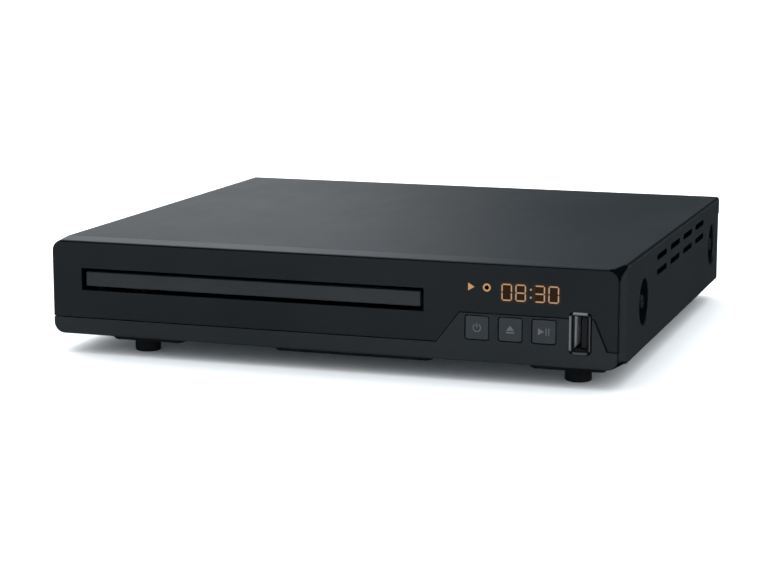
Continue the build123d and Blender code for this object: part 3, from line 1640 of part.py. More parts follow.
harness_z = board_top + connector_height
with BuildPart() as power_harness:
    for k in range(wire_count):
        y = harness_y + (k - (wire_count - 1) / 2) * wire_pitch
        with BuildLine():
            wire_path = ThreePointArc(
                (harness_x[0], y, harness_z),
                (sum(harness_x) / 2, y, harness_z + (harness_x[1] - harness_x[0]) / 2),
                (harness_x[1], y, harness_z),
            )
        with BuildSketch(Plane(origin=(harness_x[0], y, harness_z), z_dir=(0, 0, 1))):
            Circle(wire_radius)
        sweep(path=wire_path)
save(power_harness, "power_harness")

# Mains inlet with its pins
inlet_y = panel_back_y + inlet_flange_thickness
with BuildPart() as mains_inlet:
    with BuildSketch(upright(inlet_y)):
        inlet_outline(inlet_wall)
    extrude(amount=inlet_length)
    with BuildSketch(upright(inlet_y)):
        inlet_outline(inlet_wall + inlet_flange)
    extrude(amount=inlet_flange_thickness)
    block(
        (inlet_x - inlet_spacing, inlet_x + inlet_spacing), (inlet_y - inlet_length, board_rear_y),
        (board_top, inlet_z),
    )
    with BuildSketch(upright(inlet_y)):
        inlet_outline(0)
    extrude(amount=inlet_cavity, mode=Mode.SUBTRACT)
save(mains_inlet, "mains_inlet")

with BuildPart() as inlet_pins:
    for side in (-1, 1):
        rod(
            (inlet_x + side * inlet_spacing / 2, inlet_z),
            (inlet_y - inlet_cavity, inlet_y - inlet_cavity + inlet_pin_length), inlet_pin_radius,
        )
    fillet(inlet_pins.edges().filter_by(GeomType.CIRCLE).group_by(Axis.Y)[-1], inlet_pin_round)
save(inlet_pins, "inlet_pins")

# Video socket: a steel shell round a tongue on an insulator
hdmi_y = (panel_back_y + hdmi_reach - hdmi_length, panel_back_y + hdmi_reach)


def hdmi_shape(margin):
    """Outline of the socket's shell, narrower at its foot."""
    half_width = hdmi_width / 2 + margin
    half_height = hdmi_height / 2 + margin
    foot = half_width - hdmi_slope
    with Locations((hdmi_x, hdmi_z)):
        Polygon(
            (-foot, -half_height), (foot, -half_height), (half_width, hdmi_slope - half_height),
            (half_width, half_height), (-half_width, half_height), (-half_width, hdmi_slope - half_height),
            align=None,
        )


with BuildPart() as hdmi_socket:
    with BuildSketch(upright(hdmi_y[1])):
        hdmi_shape(0)
    extrude(amount=hdmi_length)
    with BuildSketch(upright(hdmi_y[1])):
        hdmi_shape(-hdmi_wall)
    extrude(amount=hdmi_length, mode=Mode.SUBTRACT)
save(hdmi_socket, "hdmi_socket")

with BuildPart() as hdmi_tongue:
    with BuildSketch(upright(hdmi_y[0] + socket_back)):
        hdmi_shape(-hdmi_wall - guide_fit)
    extrude(amount=socket_back)
    block(
        (hdmi_x - hdmi_tongue_width / 2, hdmi_x + hdmi_tongue_width / 2),
        (hdmi_y[0], hdmi_y[1] - shell_recess),
        (hdmi_z - hdmi_tongue_thickness / 2, hdmi_z + hdmi_tongue_thickness / 2),
    )
save(hdmi_tongue, "hdmi_tongue")

# Signal jacks: one block with four insulators, each with its metal barrel
jack_ends_x = (side_x(jack_columns[0] - jack_block_margin), side_x(jack_columns[1] + jack_block_margin))
collar_y = panel_back_y + jack_collar_reach
jack_end_y = panel_back_y + jack_reach
with BuildPart() as jack_block:
    block(
        jack_ends_x, (panel_inner_y - jack_block_depth, panel_inner_y),
        (board_top, rise_z(jack_rows[1]) + jack_block_margin),
    )
    for place in jack_places:
        rod(place, (panel_inner_y, collar_y), jack_collar_radius)
        rod(place, (collar_y, jack_end_y - barrel_recess), jack_radius - barrel_wall - guide_fit)
    for place in jack_places:
        rod(place, (jack_end_y - jack_bore_depth, jack_end_y), jack_bore_radius, Mode.SUBTRACT)
save(jack_block, "jack_block")

with BuildPart() as jack_barrels:
    for place in jack_places:
        rod(place, (collar_y, jack_end_y), jack_radius)
    for place in jack_places:
        rod(place, (collar_y, jack_end_y), jack_radius - barrel_wall, Mode.SUBTRACT)
save(jack_barrels, "jack_barrels")

# Screws inside the case, all alike
with BuildPart() as inner_screws:
    for x, y in frame_screws:
        add_screw((x, y, floor_z[1]), (0, 0, -1))
    for x, y in main_board_screws + power_board_screws:
        add_screw((x, y, board_top), (0, 0, -1))
    for x, y in bridge_screws:
        add_screw((x, y, bridge_z[1]), (0, 0, -1))
    for x, z in front_board_holes:
        add_screw((x, front_board_back, z), (0, -1, 0))
save(inner_screws, "inner_screws")
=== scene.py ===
import math

import bmesh
import bpy
from bpy.props import FloatProperty, FloatVectorProperty, PointerProperty
from mathutils import Matrix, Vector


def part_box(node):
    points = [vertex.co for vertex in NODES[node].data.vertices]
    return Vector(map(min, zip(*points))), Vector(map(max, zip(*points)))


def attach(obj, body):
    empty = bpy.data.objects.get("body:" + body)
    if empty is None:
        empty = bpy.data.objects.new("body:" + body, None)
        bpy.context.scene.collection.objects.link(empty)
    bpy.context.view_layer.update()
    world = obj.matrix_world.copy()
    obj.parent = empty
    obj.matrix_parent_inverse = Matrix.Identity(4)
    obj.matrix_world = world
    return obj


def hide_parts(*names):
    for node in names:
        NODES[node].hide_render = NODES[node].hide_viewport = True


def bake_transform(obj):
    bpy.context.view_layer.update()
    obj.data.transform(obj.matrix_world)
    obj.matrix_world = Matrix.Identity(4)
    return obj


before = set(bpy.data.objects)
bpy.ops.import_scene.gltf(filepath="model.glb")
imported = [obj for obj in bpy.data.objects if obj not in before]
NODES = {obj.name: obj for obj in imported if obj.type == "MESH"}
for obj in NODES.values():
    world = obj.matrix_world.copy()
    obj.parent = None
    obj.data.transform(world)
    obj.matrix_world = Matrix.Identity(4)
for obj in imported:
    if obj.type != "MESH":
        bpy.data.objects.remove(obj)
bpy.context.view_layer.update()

bl_info = {
    "name": "Disc player looks",
    "version": (1, 0, 0),
    "blender": (4, 5, 0),
    "location": "3D View > Sidebar > Disc player",
    "description": "Finishes, printed marks and a studio for a compact disc player with a sliding tray",
    "category": "Object",
}

MM = 0.001

# Colours
BLACK = (0.0, 0.0, 0.0)
WHITE = (1.0, 1.0, 1.0)
# near black, for painted shade and for the sides of the display's segments
NEAR_BLACK = (0.0012, 0.0016, 0.0020)
DAYLIGHT = (0.93, 0.97, 1.0)
ROOM = (0.038, 0.042, 0.046)

# Places on the case, in millimetres
HALF_WIDTH = 112.5
TOP = 44.6
FRONT = -107.15
CORNER = 4.5
# from the middle, where the painted shade on the bezel's outer corners begins
BEZEL_CORNERS_X = (90, 92)
DIMPLE_Z = 25.8
DIMPLE_Y = (-64.15, 82.05)
# radius of the painted shade in each side dimple
DIMPLE_RADIUS = 8.6
VENT_ROWS = (32.9, 38.7)
VENT_MIDDLE = 10.1
VENT_PITCH = 27.3
# half of a vent's straight part, and the radius of its ends
VENT_SLOT = (8.5, 1.0)

# Places on the face, in millimetres
# the tray slot's x and z, half width and half height
SLOT = (-30.45, 29.7, 69.55, 4.3)
# how far back the painted shade on the slot's walls reaches
SLOT_DEPTH = 6.0
# the stick socket's x and z, its rim's half width and half height, and where the rim's corners begin
SOCKET = (98.15, 20.65)
RIM_HALF = (4.15, 7.75)
RIM_CORNER = (2.3, 6.0)
# the slope's upper end, its run and its fall
SLOPE = (103.4, 25.75, 4.9, 11.55)
DIGITS = (70.7, 75.9, 83.0, 88.2)
DIGITS_START = (66, 67)
# from a digit's middle to the middle of its upright bars, and of its top and bottom bars
DIGIT_BARS = (1.75, 2.9)
DIGIT_GLOW = (1.3, 2.4)
DIGIT_Z = 34.25
COLON = 79.7
# the play mark's left edge, middle height, width and half height
PLAY_MARK = (56.17, 35.6, 2.27, 1.39)
PLAY_MARK_END = (59, 60)

# Where a disc's rim rubs the tray, from its middle, in millimetres
RUB_INNER = (41.0, 44.0)
RUB_OUTER = (58.0, 60.5)

# Where the pickup's ribbon is split, in metres: the end of its bend, and the level between its two runs
BEND_END = (0, -0.0136, 0)
LEVEL = (0, -0.0168, 0.01235)

# Studio: each sun's name, strength, spread, whether glossy surfaces show it, its lean and its turn
SUNS = (
    ("overhead_light", 0.6, math.radians(50), True, 0.0, 0.0),
    ("back_light", 3.0, math.radians(70), False, math.radians(52), math.radians(38)),
    ("tent_light", 5.0, math.radians(170), False, 0.0, 0.0),
)
RIGHT_BOX_TURN = math.radians(-15)
RIGHT_BOX_SIZE = (1.2, 0.8)
RIGHT_BOX_RADIANCE = 0.25
BANK_SHARES = (0.15, 0.42, 0.72, 0.92) + 9 * (1.0,)
BANK_START = math.radians(14)
BANK_STEP = math.radians(2.5)
CAMERA_PLACE = (0.26551, -0.82497, 0.16849)


# Sizes and colours that a user may change

def colour_property(name, description, default):
    return FloatVectorProperty(
        name=name, description=description, default=default, size=3, min=0, max=1, subtype="COLOR",
    )


class CaseLooks(bpy.types.PropertyGroup):
    """Colours of the case's mouldings and sheets"""

    bezel: colour_property("Bezel", "Lower part and sides of the front moulding", (0.0132, 0.0162, 0.0186))
    panel: colour_property("Face panel", "Upper panel of the face", (0.0090, 0.0110, 0.0130))
    door: colour_property("Tray door", "Strip on the front of the tray", (0.0208, 0.0240, 0.0266))
    cover: colour_property("Cover paint", "Paint of the folded top cover", (0.0120, 0.0144, 0.0162))
    base: colour_property("Base paint", "Paint of the base pan", (0.0085, 0.0098, 0.0105))
    rubber: colour_property("Feet", "Soft feet", (0.0050, 0.0057, 0.0064))
    grain: FloatProperty(
        name="Grain", description="Size of the mouldings' fine grain", default=0.22 * MM, unit="LENGTH",
    )


class KeyLooks(bpy.types.PropertyGroup):
    """Keys and the marks printed on them"""

    cap: colour_property("Key", "Square key caps", (0.0246, 0.0286, 0.0322))
    mark: colour_property("Mark", "Ink of the printed marks", (0.0860, 0.0920, 0.0965))
    mark_height: FloatProperty(
        name="Mark height", description="Height of a printed mark", default=3.1 * MM, unit="LENGTH",
    )
    line: FloatProperty(
        name="Mark line", description="Width of a printed line", default=0.36 * MM, unit="LENGTH",
    )
    ink: FloatProperty(
        name="Ink thickness", description="How far the ink stands on the key",
        default=0.02 * MM, unit="LENGTH",
    )


class DisplayLooks(bpy.types.PropertyGroup):
    """Lit segments and their glow in the panel"""

    marks: colour_property("Marks", "Light of the two marks", (0.58, 0.29, 0.095))
    digits: colour_property("Digits", "Light of the digits", (0.55, 0.375, 0.225))
    colon: colour_property("Colon", "Light of the colon's dots", (0.32, 0.275, 0.20))
    glow: colour_property("Glow", "Light that spreads round the segments", (0.090, 0.034, 0.003))
    power: FloatProperty(name="Brightness", description="Strength of the lit segments", default=0.72, min=0)


class StudioLooks(bpy.types.PropertyGroup):
    """Floor, lights and camera"""

    floor: colour_property("Floor", "Pale floor", (0.79, 0.79, 0.79))
    floor_radius: FloatProperty(
        name="Floor radius", description="Radius of the floor disc", default=8.0, unit="LENGTH",
    )
    bank_distance: FloatProperty(
        name="Bank distance", description="How far the light bank is", default=2.2, unit="LENGTH",
    )
    bank_height: FloatProperty(
        name="Bank height", description="Height of the light bank", default=1.0, unit="LENGTH",
    )
    bank_radiance: FloatProperty(
        name="Bank brightness", description="Radiance of the bank's brightest strips", default=0.72,
    )
    lens: FloatProperty(name="Lens", description="Focal length of the camera", default=97.41, unit="CAMERA")
    turn: FloatProperty(
        name="Turn", description="How far the camera turns to the left",
        default=math.radians(18.581), unit="ROTATION",
    )
    tilt: FloatProperty(
        name="Tilt", description="How far the camera looks down",
        default=math.radians(10.157), unit="ROTATION",
    )


# Shader maths and finishes

class Value:
    """A shader value in an expression. Each operation adds one Math node to its finish."""

    def __init__(self, finish, socket):
        self.finish = finish
        self.socket = socket

    def __add__(self, other):
        return self.finish.math("ADD", self, other)

    def __sub__(self, other):
        return self.finish.math("SUBTRACT", self, other)

    def __rsub__(self, other):
        return self.finish.math("SUBTRACT", other, self)

    def __mul__(self, other):
        return self.finish.math("MULTIPLY", self, other)

    def __truediv__(self, other):
        return self.finish.math("DIVIDE", self, other)

    def __rtruediv__(self, other):
        return self.finish.math("DIVIDE", other, self)

    def __pow__(self, other):
        return self.finish.math("POWER", self, other)

    def __abs__(self):
        return self.finish.math("ABSOLUTE", self)

    __radd__ = __add__
    __rmul__ = __mul__

    def at_least(self, other):
        return self.finish.math("MAXIMUM", self, other)

    def at_most(self, other):
        return self.finish.math("MINIMUM", self, other)

    def ramp(self, start, end):
        """0 before start and 1 after end, with a soft change between them."""
        return self.finish.value(
            "ShaderNodeMapRange", {"interpolation_type": "SMOOTHSTEP"},
            {"Value": self, "From Min": start, "From Max": end},
        )


class Shader:
    """A node tree in the making"""

    def __init__(self, owner):
        owner.use_nodes = True
        self.tree = owner.node_tree
        self.tree.nodes.clear()

    def node(self, kind, settings=None, inputs=None):
        """Adds a node: its settings first, then its sockets' values or links."""
        made = self.tree.nodes.new(kind)
        for name, setting in (settings or {}).items():
            setattr(made, name, setting)
        self.feed(made, inputs or {})
        return made

    def feed(self, node, inputs):
        """Links a node's sockets or sets their values. A colour of three parts gets its alpha."""
        for name, given in inputs.items():
            socket = node.inputs[name]
            given = given.socket if isinstance(given, Value) else given
            if isinstance(given, bpy.types.NodeSocket):
                self.tree.links.new(given, socket)
            elif socket.type == "RGBA" and len(given) == 3:
                socket.default_value = (*given, 1)
            else:
                socket.default_value = given

    def value(self, kind, settings=None, inputs=None, output=0):
        return Value(self, self.node(kind, settings, inputs).outputs[output])

    def math(self, operation, *terms):
        return self.value("ShaderNodeMath", {"operation": operation}, dict(enumerate(terms)))

    def vector(self, operation, *terms, **more):
        inputs = {**dict(enumerate(terms)), **more}
        return self.node("ShaderNodeVectorMath", {"operation": operation}, inputs).outputs[0]

    def parts(self, vector):
        """The three values of a vector."""
        split = self.node("ShaderNodeSeparateXYZ", {}, {0: vector})
        return [Value(self, split.outputs[k]) for k in range(3)]

    def mix(self, share, first, second):
        """Colour between two colours."""
        return self.node(
            "ShaderNodeMix", {"data_type": "RGBA"}, {0: share, 6: first, 7: second},
        ).outputs[2]


class Finish(Shader):
    """A material in the making. Its coordinates are the object's own, in millimetres."""

    def __init__(self, name):
        self.material = bpy.data.materials.new(name)
        super().__init__(self.material)
        self.surface = self.node("ShaderNodeBsdfPrincipled")
        self.output = self.node("ShaderNodeOutputMaterial", {}, {"Surface": self.surface.outputs["BSDF"]})
        coordinates = self.node("ShaderNodeTexCoord")
        self.place = self.vector("SCALE", coordinates.outputs["Object"], Scale=1 / MM)
        self.x, self.y, self.z = self.parts(self.place)
        self.facing = coordinates.outputs["Normal"]

    def stretched(self, x=1.0, y=1.0, z=1.0):
        """The piece's coordinates, stretched along its axes."""
        return self.vector("MULTIPLY", self.place, (1 / x, 1 / y, 1 / z))

    def noise(self, size, detail=2.0, place=None):
        """Cloudy noise from 0 to 1 whose patches are about size millimetres wide."""
        return self.value(
            "ShaderNodeTexNoise", {}, {"Vector": place or self.place, "Scale": 1 / size, "Detail": detail},
        )

    def cells(self, size, place=None, output=0, feature="F1"):
        inputs = {"Vector": place or self.place, "Scale": 1 / size}
        return self.value("ShaderNodeTexVoronoi", {"feature": feature}, inputs, output)

    def rounded(self, radius):
        """Normal of the surface with its edges rounded, for highlights along them."""
        return self.node("ShaderNodeBevel", {"samples": 4}, {"Radius": radius * MM}).outputs[0]

    def edges(self, normal):
        """1 on edges and 0 on open faces."""
        flat = self.node("ShaderNodeNewGeometry").outputs["Normal"]
        along = self.node("ShaderNodeVectorMath", {"operation": "DOT_PRODUCT"}, {0: normal, 1: flat})
        return (1 - Value(self, along.outputs["Value"])).ramp(0.01, 0.25)

    def relief(self, height, depth, normal=None):
        """Normal of a relief whose full height is depth millimetres."""
        inputs = {"Height": height, "Distance": depth * MM, "Strength": 1.0}
        if normal is not None:
            inputs["Normal"] = normal
        return self.node("ShaderNodeBump", {}, inputs).outputs[0]

    def coat(self, **inputs):
        """Gives the surface its sockets. Underscores in a name stand for spaces."""
        self.feed(self.surface, {name.replace("_", " "): given for name, given in inputs.items()})
        return self

    def blacken(self, share):
        """Paints shade by share: makes the surface dull and nearly black, for painted shade in recesses,
        folds and on shadowed edges.
        """
        dull = self.node(
            "ShaderNodeBsdfPrincipled", {}, {"Base Color": NEAR_BLACK, "Roughness": 0.9, "Specular IOR Level": 0.0},
        )
        both = self.node(
            "ShaderNodeMixShader", {}, {0: share, 1: self.surface.outputs["BSDF"], 2: dull.outputs["BSDF"]},
        )
        self.tree.links.new(both.outputs["Shader"], self.output.inputs["Surface"])
        return self


def shade(colour, share):
    return tuple(part * share for part in colour)


def moulded(name, colour, rough, grain=0.22, edge=0.25, specular=0.5, bright_edge=1.5, relief=0.004):
    """Moulded plastic: slow changes of tone, fine grain and edges that are polished by handling."""
    made = Finish(name)
    slow = made.noise(45, 3)
    fine = made.noise(grain, 2)
    round_normal = made.rounded(edge)
    worn = made.edges(round_normal)
    tone = made.mix(slow.ramp(0.3, 0.7), shade(colour, 0.93), shade(colour, 1.07))
    return made.coat(
        Base_Color=made.mix(worn * 0.6, tone, shade(colour, bright_edge)),
        Roughness=rough + (slow - 0.5) * 0.1 + (fine - 0.5) * 0.06 - worn * 0.06,
        Normal=made.relief(fine, relief, round_normal),
        Specular_IOR_Level=specular,
    )


def painted(name, colour, rough, grain=0.35, edge=0.4, specular=0.5, relief=0.006):
    """Powder paint on steel: orange peel, slightly matter patches and thin paint on the folds."""
    made = Finish(name)
    slow = made.noise(60, 3)
    peel = made.noise(grain, 2)
    smear = made.noise(9, 4, made.stretched(1.0, 3.0, 1.0))
    round_normal = made.rounded(edge)
    worn = made.edges(round_normal)
    tone = made.mix(slow.ramp(0.3, 0.7), shade(colour, 0.94), shade(colour, 1.06))
    return made.coat(
        Base_Color=made.mix(worn * 0.5, tone, shade(colour, 1.35)),
        Roughness=rough + (slow - 0.5) * 0.08 + (smear - 0.5) * 0.05 + (peel - 0.5) * 0.05,
        Normal=made.relief(peel, relief, round_normal),
        Specular_IOR_Level=specular,
    )


def plated(name, colour, rough, spangle=0.0, edge=0.2, brushed=0.0, metallic=0.8):
    """Plated steel, with zinc spangle or brushing where it has them."""
    made = Finish(name)
    slow = made.noise(12, 4)
    fine = made.noise(0.3, 3)
    round_normal = made.rounded(edge)
    worn = made.edges(round_normal)
    tone = made.mix(slow.ramp(0.35, 0.65), shade(colour, 0.86), colour)
    level = rough + (slow - 0.5) * 0.12 + (fine - 0.5) * 0.05
    if spangle:
        flower = made.cells(spangle, output=1)
        grey = made.value("ShaderNodeSeparateColor", {}, {0: flower.socket})
        tone = made.mix(grey * 0.35, tone, shade(colour, 0.62))
        level = level + (grey - 0.5) * 0.14
    if brushed:
        lines = made.noise(0.25, 2, made.stretched(brushed, 1.0, 1.0))
        level = level + (lines - 0.5) * 0.2
        tone = made.mix(lines * 0.4, tone, shade(colour, 0.7))
    return made.coat(
        Base_Color=made.mix(worn * 0.5, tone, shade(colour, 1.15)),
        Roughness=level,
        Metallic=metallic,
        Normal=made.relief(fine, 0.002, round_normal),
    )


def rubbery(name, colour):
    """Soft rubber with a dusty bloom."""
    made = Finish(name)
    slow = made.noise(3.5, 4)
    fine = made.noise(0.16, 3)
    round_normal = made.rounded(0.3)
    dust = (slow.ramp(0.45, 0.75) * 0.5 + fine * 0.2)
    return made.coat(
        Base_Color=made.mix(dust, colour, shade(colour, 2.6)),
        Roughness=0.68 + (slow - 0.5) * 0.2,
        Normal=made.relief(fine, 0.012, round_normal),
        Specular_IOR_Level=0.3,
    )


def wear_finish(finish, *names):
    """Gives CAD nodes a finish."""
    for name in names:
        mesh = NODES[name].data
        mesh.materials.clear()
        mesh.materials.append(finish.material)


# New pieces

def piece(bm, name, finish, body):
    """Makes a mesh piece from a bmesh, at the origin, riding on a body unless that is None."""
    bmesh.ops.remove_doubles(bm, verts=bm.verts, dist=1e-7)
    bmesh.ops.recalc_face_normals(bm, faces=bm.faces)
    mesh = bpy.data.meshes.new(name)
    bm.to_mesh(mesh)
    bm.free()
    mesh.materials.append(finish.material)
    made = bpy.data.objects.new(name, mesh)
    bpy.context.scene.collection.objects.link(made)
    if body:
        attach(made, body)
    return made


def flat_shape(bm, points, depth):
    """A plate in the X-Z plane, drawn from a few corners and as deep as depth along Y."""
    corners = [bm.verts.new((x, 0, z)) for x, z in points]
    face = bm.faces.new(corners)
    grown = bmesh.ops.extrude_face_region(bm, geom=[face])["geom"]
    ends = [v for v in grown if isinstance(v, bmesh.types.BMVert)]
    bmesh.ops.translate(bm, verts=ends, vec=(0, depth, 0))


def arc_shape(bm, centre, radius, line, depth, start, sweep, steps=28):
    """A bar bent round a centre in the X-Z plane."""
    cx, cz = centre
    inner, outer = radius - line / 2, radius + line / 2
    section = ((inner, 0), (outer, 0), (outer, depth), (inner, depth))
    corners = [bm.verts.new((cx + r, y, cz)) for r, y in section]
    face = bm.faces.new(corners)
    bmesh.ops.rotate(bm, verts=corners, cent=(cx, 0, cz), matrix=Matrix.Rotation(-start, 3, "Y"))
    bmesh.ops.spin(
        bm, geom=[face] + list(face.edges) + corners,
        cent=(cx, 0, cz), axis=(0, -1, 0), angle=sweep, steps=steps,
    )


def key_mark(name, key, body, ink, shapes):
    """Prints a mark on the middle of a key's face. Shapes draw it round the origin."""
    looks = bpy.context.scene.player_keys
    low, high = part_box(key)
    bm = bmesh.new()
    shapes(bm, looks.mark_height, looks.line, 2 * looks.ink)
    middle = ((low.x + high.x) / 2, low.y - looks.ink, (low.z + high.z) / 2)
    bmesh.ops.translate(bm, verts=bm.verts, vec=middle)
    return piece(bm, name, ink, body)


def upright_plate(bm, left, right, bottom, top, depth):
    flat_shape(bm, [(left, bottom), (right, bottom), (right, top), (left, top)], depth)


def power_shapes(bm, size, line, depth):
    radius = size * 0.46
    gap = math.radians(32)
    arc_shape(bm, (0, 0), radius, line, depth, math.pi / 2 + gap, 2 * math.pi - 2 * gap)
    half = line / 2
    upright_plate(bm, -half, half, size * 0.06, size * 0.56, depth)


def eject_shapes(bm, size, line, depth):
    half = size * 0.5
    flat_shape(bm, [(-half, -0.12 * size), (half, -0.12 * size), (0, 0.5 * size)], depth)
    upright_plate(bm, -half, half, -0.44 * size, -0.26 * size, depth)


def play_shapes(bm, size, line, depth):
    half = size * 0.42
    flat_shape(bm, [(-0.72 * size, -half), (0.05 * size, 0), (-0.72 * size, half)], depth)
    for x in (0.27 * size, 0.60 * size):
        upright_plate(bm, x - line / 2, x + line / 2, -half, half, depth)


def digit_place(made):
    """How far a point is beside and above the nearest digit's middle."""
    aside = abs(made.x - DIGITS[0])
    for middle in DIGITS[1:]:
        aside = aside.at_most(abs(made.x - middle))
    return aside, abs(made.z - DIGIT_Z)


class PLAYER_OT_case(bpy.types.Operator):
    """Finishes the bezel, the face panel, the tray door, the cover, the base and the feet"""

    bl_idname = "player.case"
    bl_label = "Case"

    def execute(self, context):
        looks = context.scene.player_case
        grain = looks.grain / MM
        wear_finish(self.bezel(tuple(looks.bezel), grain), "front_bezel")
        wear_finish(self.face_panel(context, grain), "front_panel")
        wear_finish(moulded("door_plastic", tuple(looks.door), 0.50, grain, specular=0.28), "tray_door")
        wear_finish(self.cover(tuple(looks.cover)), "top_cover")
        wear_finish(painted("rear_paint", tuple(looks.cover), 0.50, specular=0.4), "rear_panel")
        wear_finish(painted("base_paint", tuple(looks.base), 0.55, specular=0.25), "base_pan")
        wear_finish(rubbery("foot_rubber", tuple(looks.rubber)), "feet")
        wear_finish(plated("cover_screw_black", (0.014, 0.015, 0.017), 0.42, metallic=0.3), "cover_screws")
        wear_finish(plated("inner_screw_zinc", (0.62, 0.62, 0.60), 0.32), "inner_screws")
        return {"FINISHED"}

    def face_edge(self, made):
        """1 on the thin rounded edge between the face and the top and right side, where shade is painted."""
        aside = (made.x - (HALF_WIDTH - CORNER)).at_least(0)
        above = (made.z - (TOP - CORNER)).at_least(0)
        away = (aside * aside + above * above) ** 0.5
        bend = aside.ramp(0.2, 1.2) * above.ramp(0.2, 1.2)
        rim = away.ramp(CORNER - 0.72, CORNER - 0.6) * (1 - (away - bend).ramp(CORNER - 0.28, CORNER - 0.16))
        return rim * (1 - (made.y - FRONT - bend * 1.5).ramp(0.3, 0.45)) * (0.85 + bend * 0.15)

    def slope_line(self, made):
        """1 on a line of painted shade down the slope of the face's groove beside the stick socket."""
        x, z, run, fall = SLOPE
        away = abs((made.x - x) * fall + (made.z - z) * run) / math.hypot(run, fall)
        ends = (made.z - z + fall).ramp(-0.1, 0.3) * (1 - (made.z - z).ramp(-0.3, 0.1))
        return (1 - away.ramp(0.2, 0.5)) * ends * made.x.ramp(x - 1, x) * 0.85

    def slot_wall(self, made, margin):
        """1 on the walls of the tray's slot, where shade is painted."""
        x, z, half_width, half_height = SLOT
        out = (abs(made.x - x) - half_width).at_least(abs(made.z - z) - half_height)
        near = 1 - out.ramp(margin, margin + 0.1)
        return near * (1 - (made.y - FRONT).ramp(SLOT_DEPTH, SLOT_DEPTH + 0.2))

    def bezel(self, colour, grain):
        """The front moulding, with painted shade, a dark reflection, on its outer corners, and painted shade
        along the face's rounded edge, down the groove's slope and on the slot's walls.
        """
        made = moulded("bezel_plastic", colour, 0.36, grain, specular=0.6)
        across, _, up = made.parts(made.facing)
        outward = across.ramp(0.08, 0.4).at_least((across * -1).ramp(0.35, 0.6))
        # painted shade, a dark reflection, where the moulding rounds over at its outer corners
        painted_corner_shade = outward * abs(up).ramp(0.08, 0.4) * abs(made.x).ramp(*BEZEL_CORNERS_X)
        # painted shade along the face's rounded edge and down the groove's slope
        edge = self.face_edge(made).at_least(self.slope_line(made))
        return made.blacken(painted_corner_shade.at_least(edge).at_least(self.slot_wall(made, 0.45)))

    def cover(self, colour):
        """Paint of the cover, with painted shade along its folds, in its side dimples and round its vents.
        """
        made = painted("cover_paint", colour, 0.40, specular=0.5)
        across, _, up = made.parts(made.facing)
        # painted shade, a dark reflection, along the folds
        fold_shade = abs(across).ramp(0.3, 0.5) * up.ramp(0.3, 0.5)
        deep = (HALF_WIDTH - abs(made.x)).ramp(0.03, 0.2)
        height = made.z - DIMPLE_Z
        # painted shade in the two side dimples
        dimple_shade = None
        for depth in DIMPLE_Y:
            along = made.y - depth
            near = 1 - ((height * height + along * along) ** 0.5).ramp(DIMPLE_RADIUS, DIMPLE_RADIUS + 0.2)
            dimple_shade = near if dimple_shade is None else dimple_shade + near
        return made.blacken((deep * dimple_shade).at_least(fold_shade * 0.8).at_least(self.vent_edges(made)))

    def vent_edges(self, made):
        """1 in a narrow band of painted shade round the cover's side vents."""
        straight, radius = VENT_SLOT
        row = abs(made.z - VENT_ROWS[0]).at_most(abs(made.z - VENT_ROWS[1]))
        from_middle = made.y - VENT_MIDDLE
        along = abs(made.math("WRAP", from_middle, VENT_PITCH, 0.0) - VENT_PITCH / 2)
        end = (along - straight).at_least(0)
        near = 1 - ((end * end + row * row) ** 0.5).ramp(radius + 0.08, radius + 0.25)
        return near * (1 - abs(from_middle).ramp(2 * VENT_PITCH - 0.5, 2 * VENT_PITCH))

    def face_panel(self, context, grain):
        """The upper panel, with a painted glow round the digits and painted shade along the face's rounded
        edge, down the groove's slope and on the slot's walls.
        """
        looks = context.scene.player_case
        display = context.scene.player_display
        made = moulded("panel_plastic", tuple(looks.panel), 0.42, grain, specular=0.40)
        aside, above = digit_place(made)
        aside, above = (aside - DIGIT_GLOW[0]).at_least(0), (above - DIGIT_GLOW[1]).at_least(0)
        away = (aside * aside + above * above) ** 0.5
        # painted glow round the digits
        light = (1 - away.ramp(0.0, 1.7)) * (1 - (made.y - FRONT).ramp(0.75, 1.15))
        edge = self.face_edge(made).at_least(self.slope_line(made))
        # painted shade on the edges and in the slot, and the panel dulled under the painted glow
        made.blacken(edge.at_least(self.slot_wall(made, 0.02)).at_least(light * 0.75))
        return made.coat(Emission_Color=made.mix(light, BLACK, tuple(display.glow)), Emission_Strength=1.0)


class PLAYER_OT_keys(bpy.types.Operator):
    """Finishes the three keys and prints their marks"""

    bl_idname = "player.keys"
    bl_label = "Keys"

    def execute(self, context):
        looks = context.scene.player_keys
        cap = moulded("key_plastic", tuple(looks.cap), 0.50, specular=0.32, bright_edge=1.8)
        wear_finish(cap, "power_button", "eject_button", "play_button")
        nylon = moulded("switch_plunger_nylon", (0.58, 0.56, 0.50), 0.45)
        wear_finish(nylon, "power_plunger", "eject_plunger", "play_plunger")
        wear_finish(moulded("switch_case", (0.014, 0.014, 0.015), 0.45), "tact_switches")
        ink = moulded("mark_ink", tuple(looks.mark), 0.55, specular=0.3)
        key_mark("power_mark", "power_button", "power_key", ink, power_shapes)
        key_mark("eject_mark", "eject_button", "eject_key", ink, eject_shapes)
        key_mark("play_mark", "play_button", "play_key", ink, play_shapes)
        return {"FINISHED"}


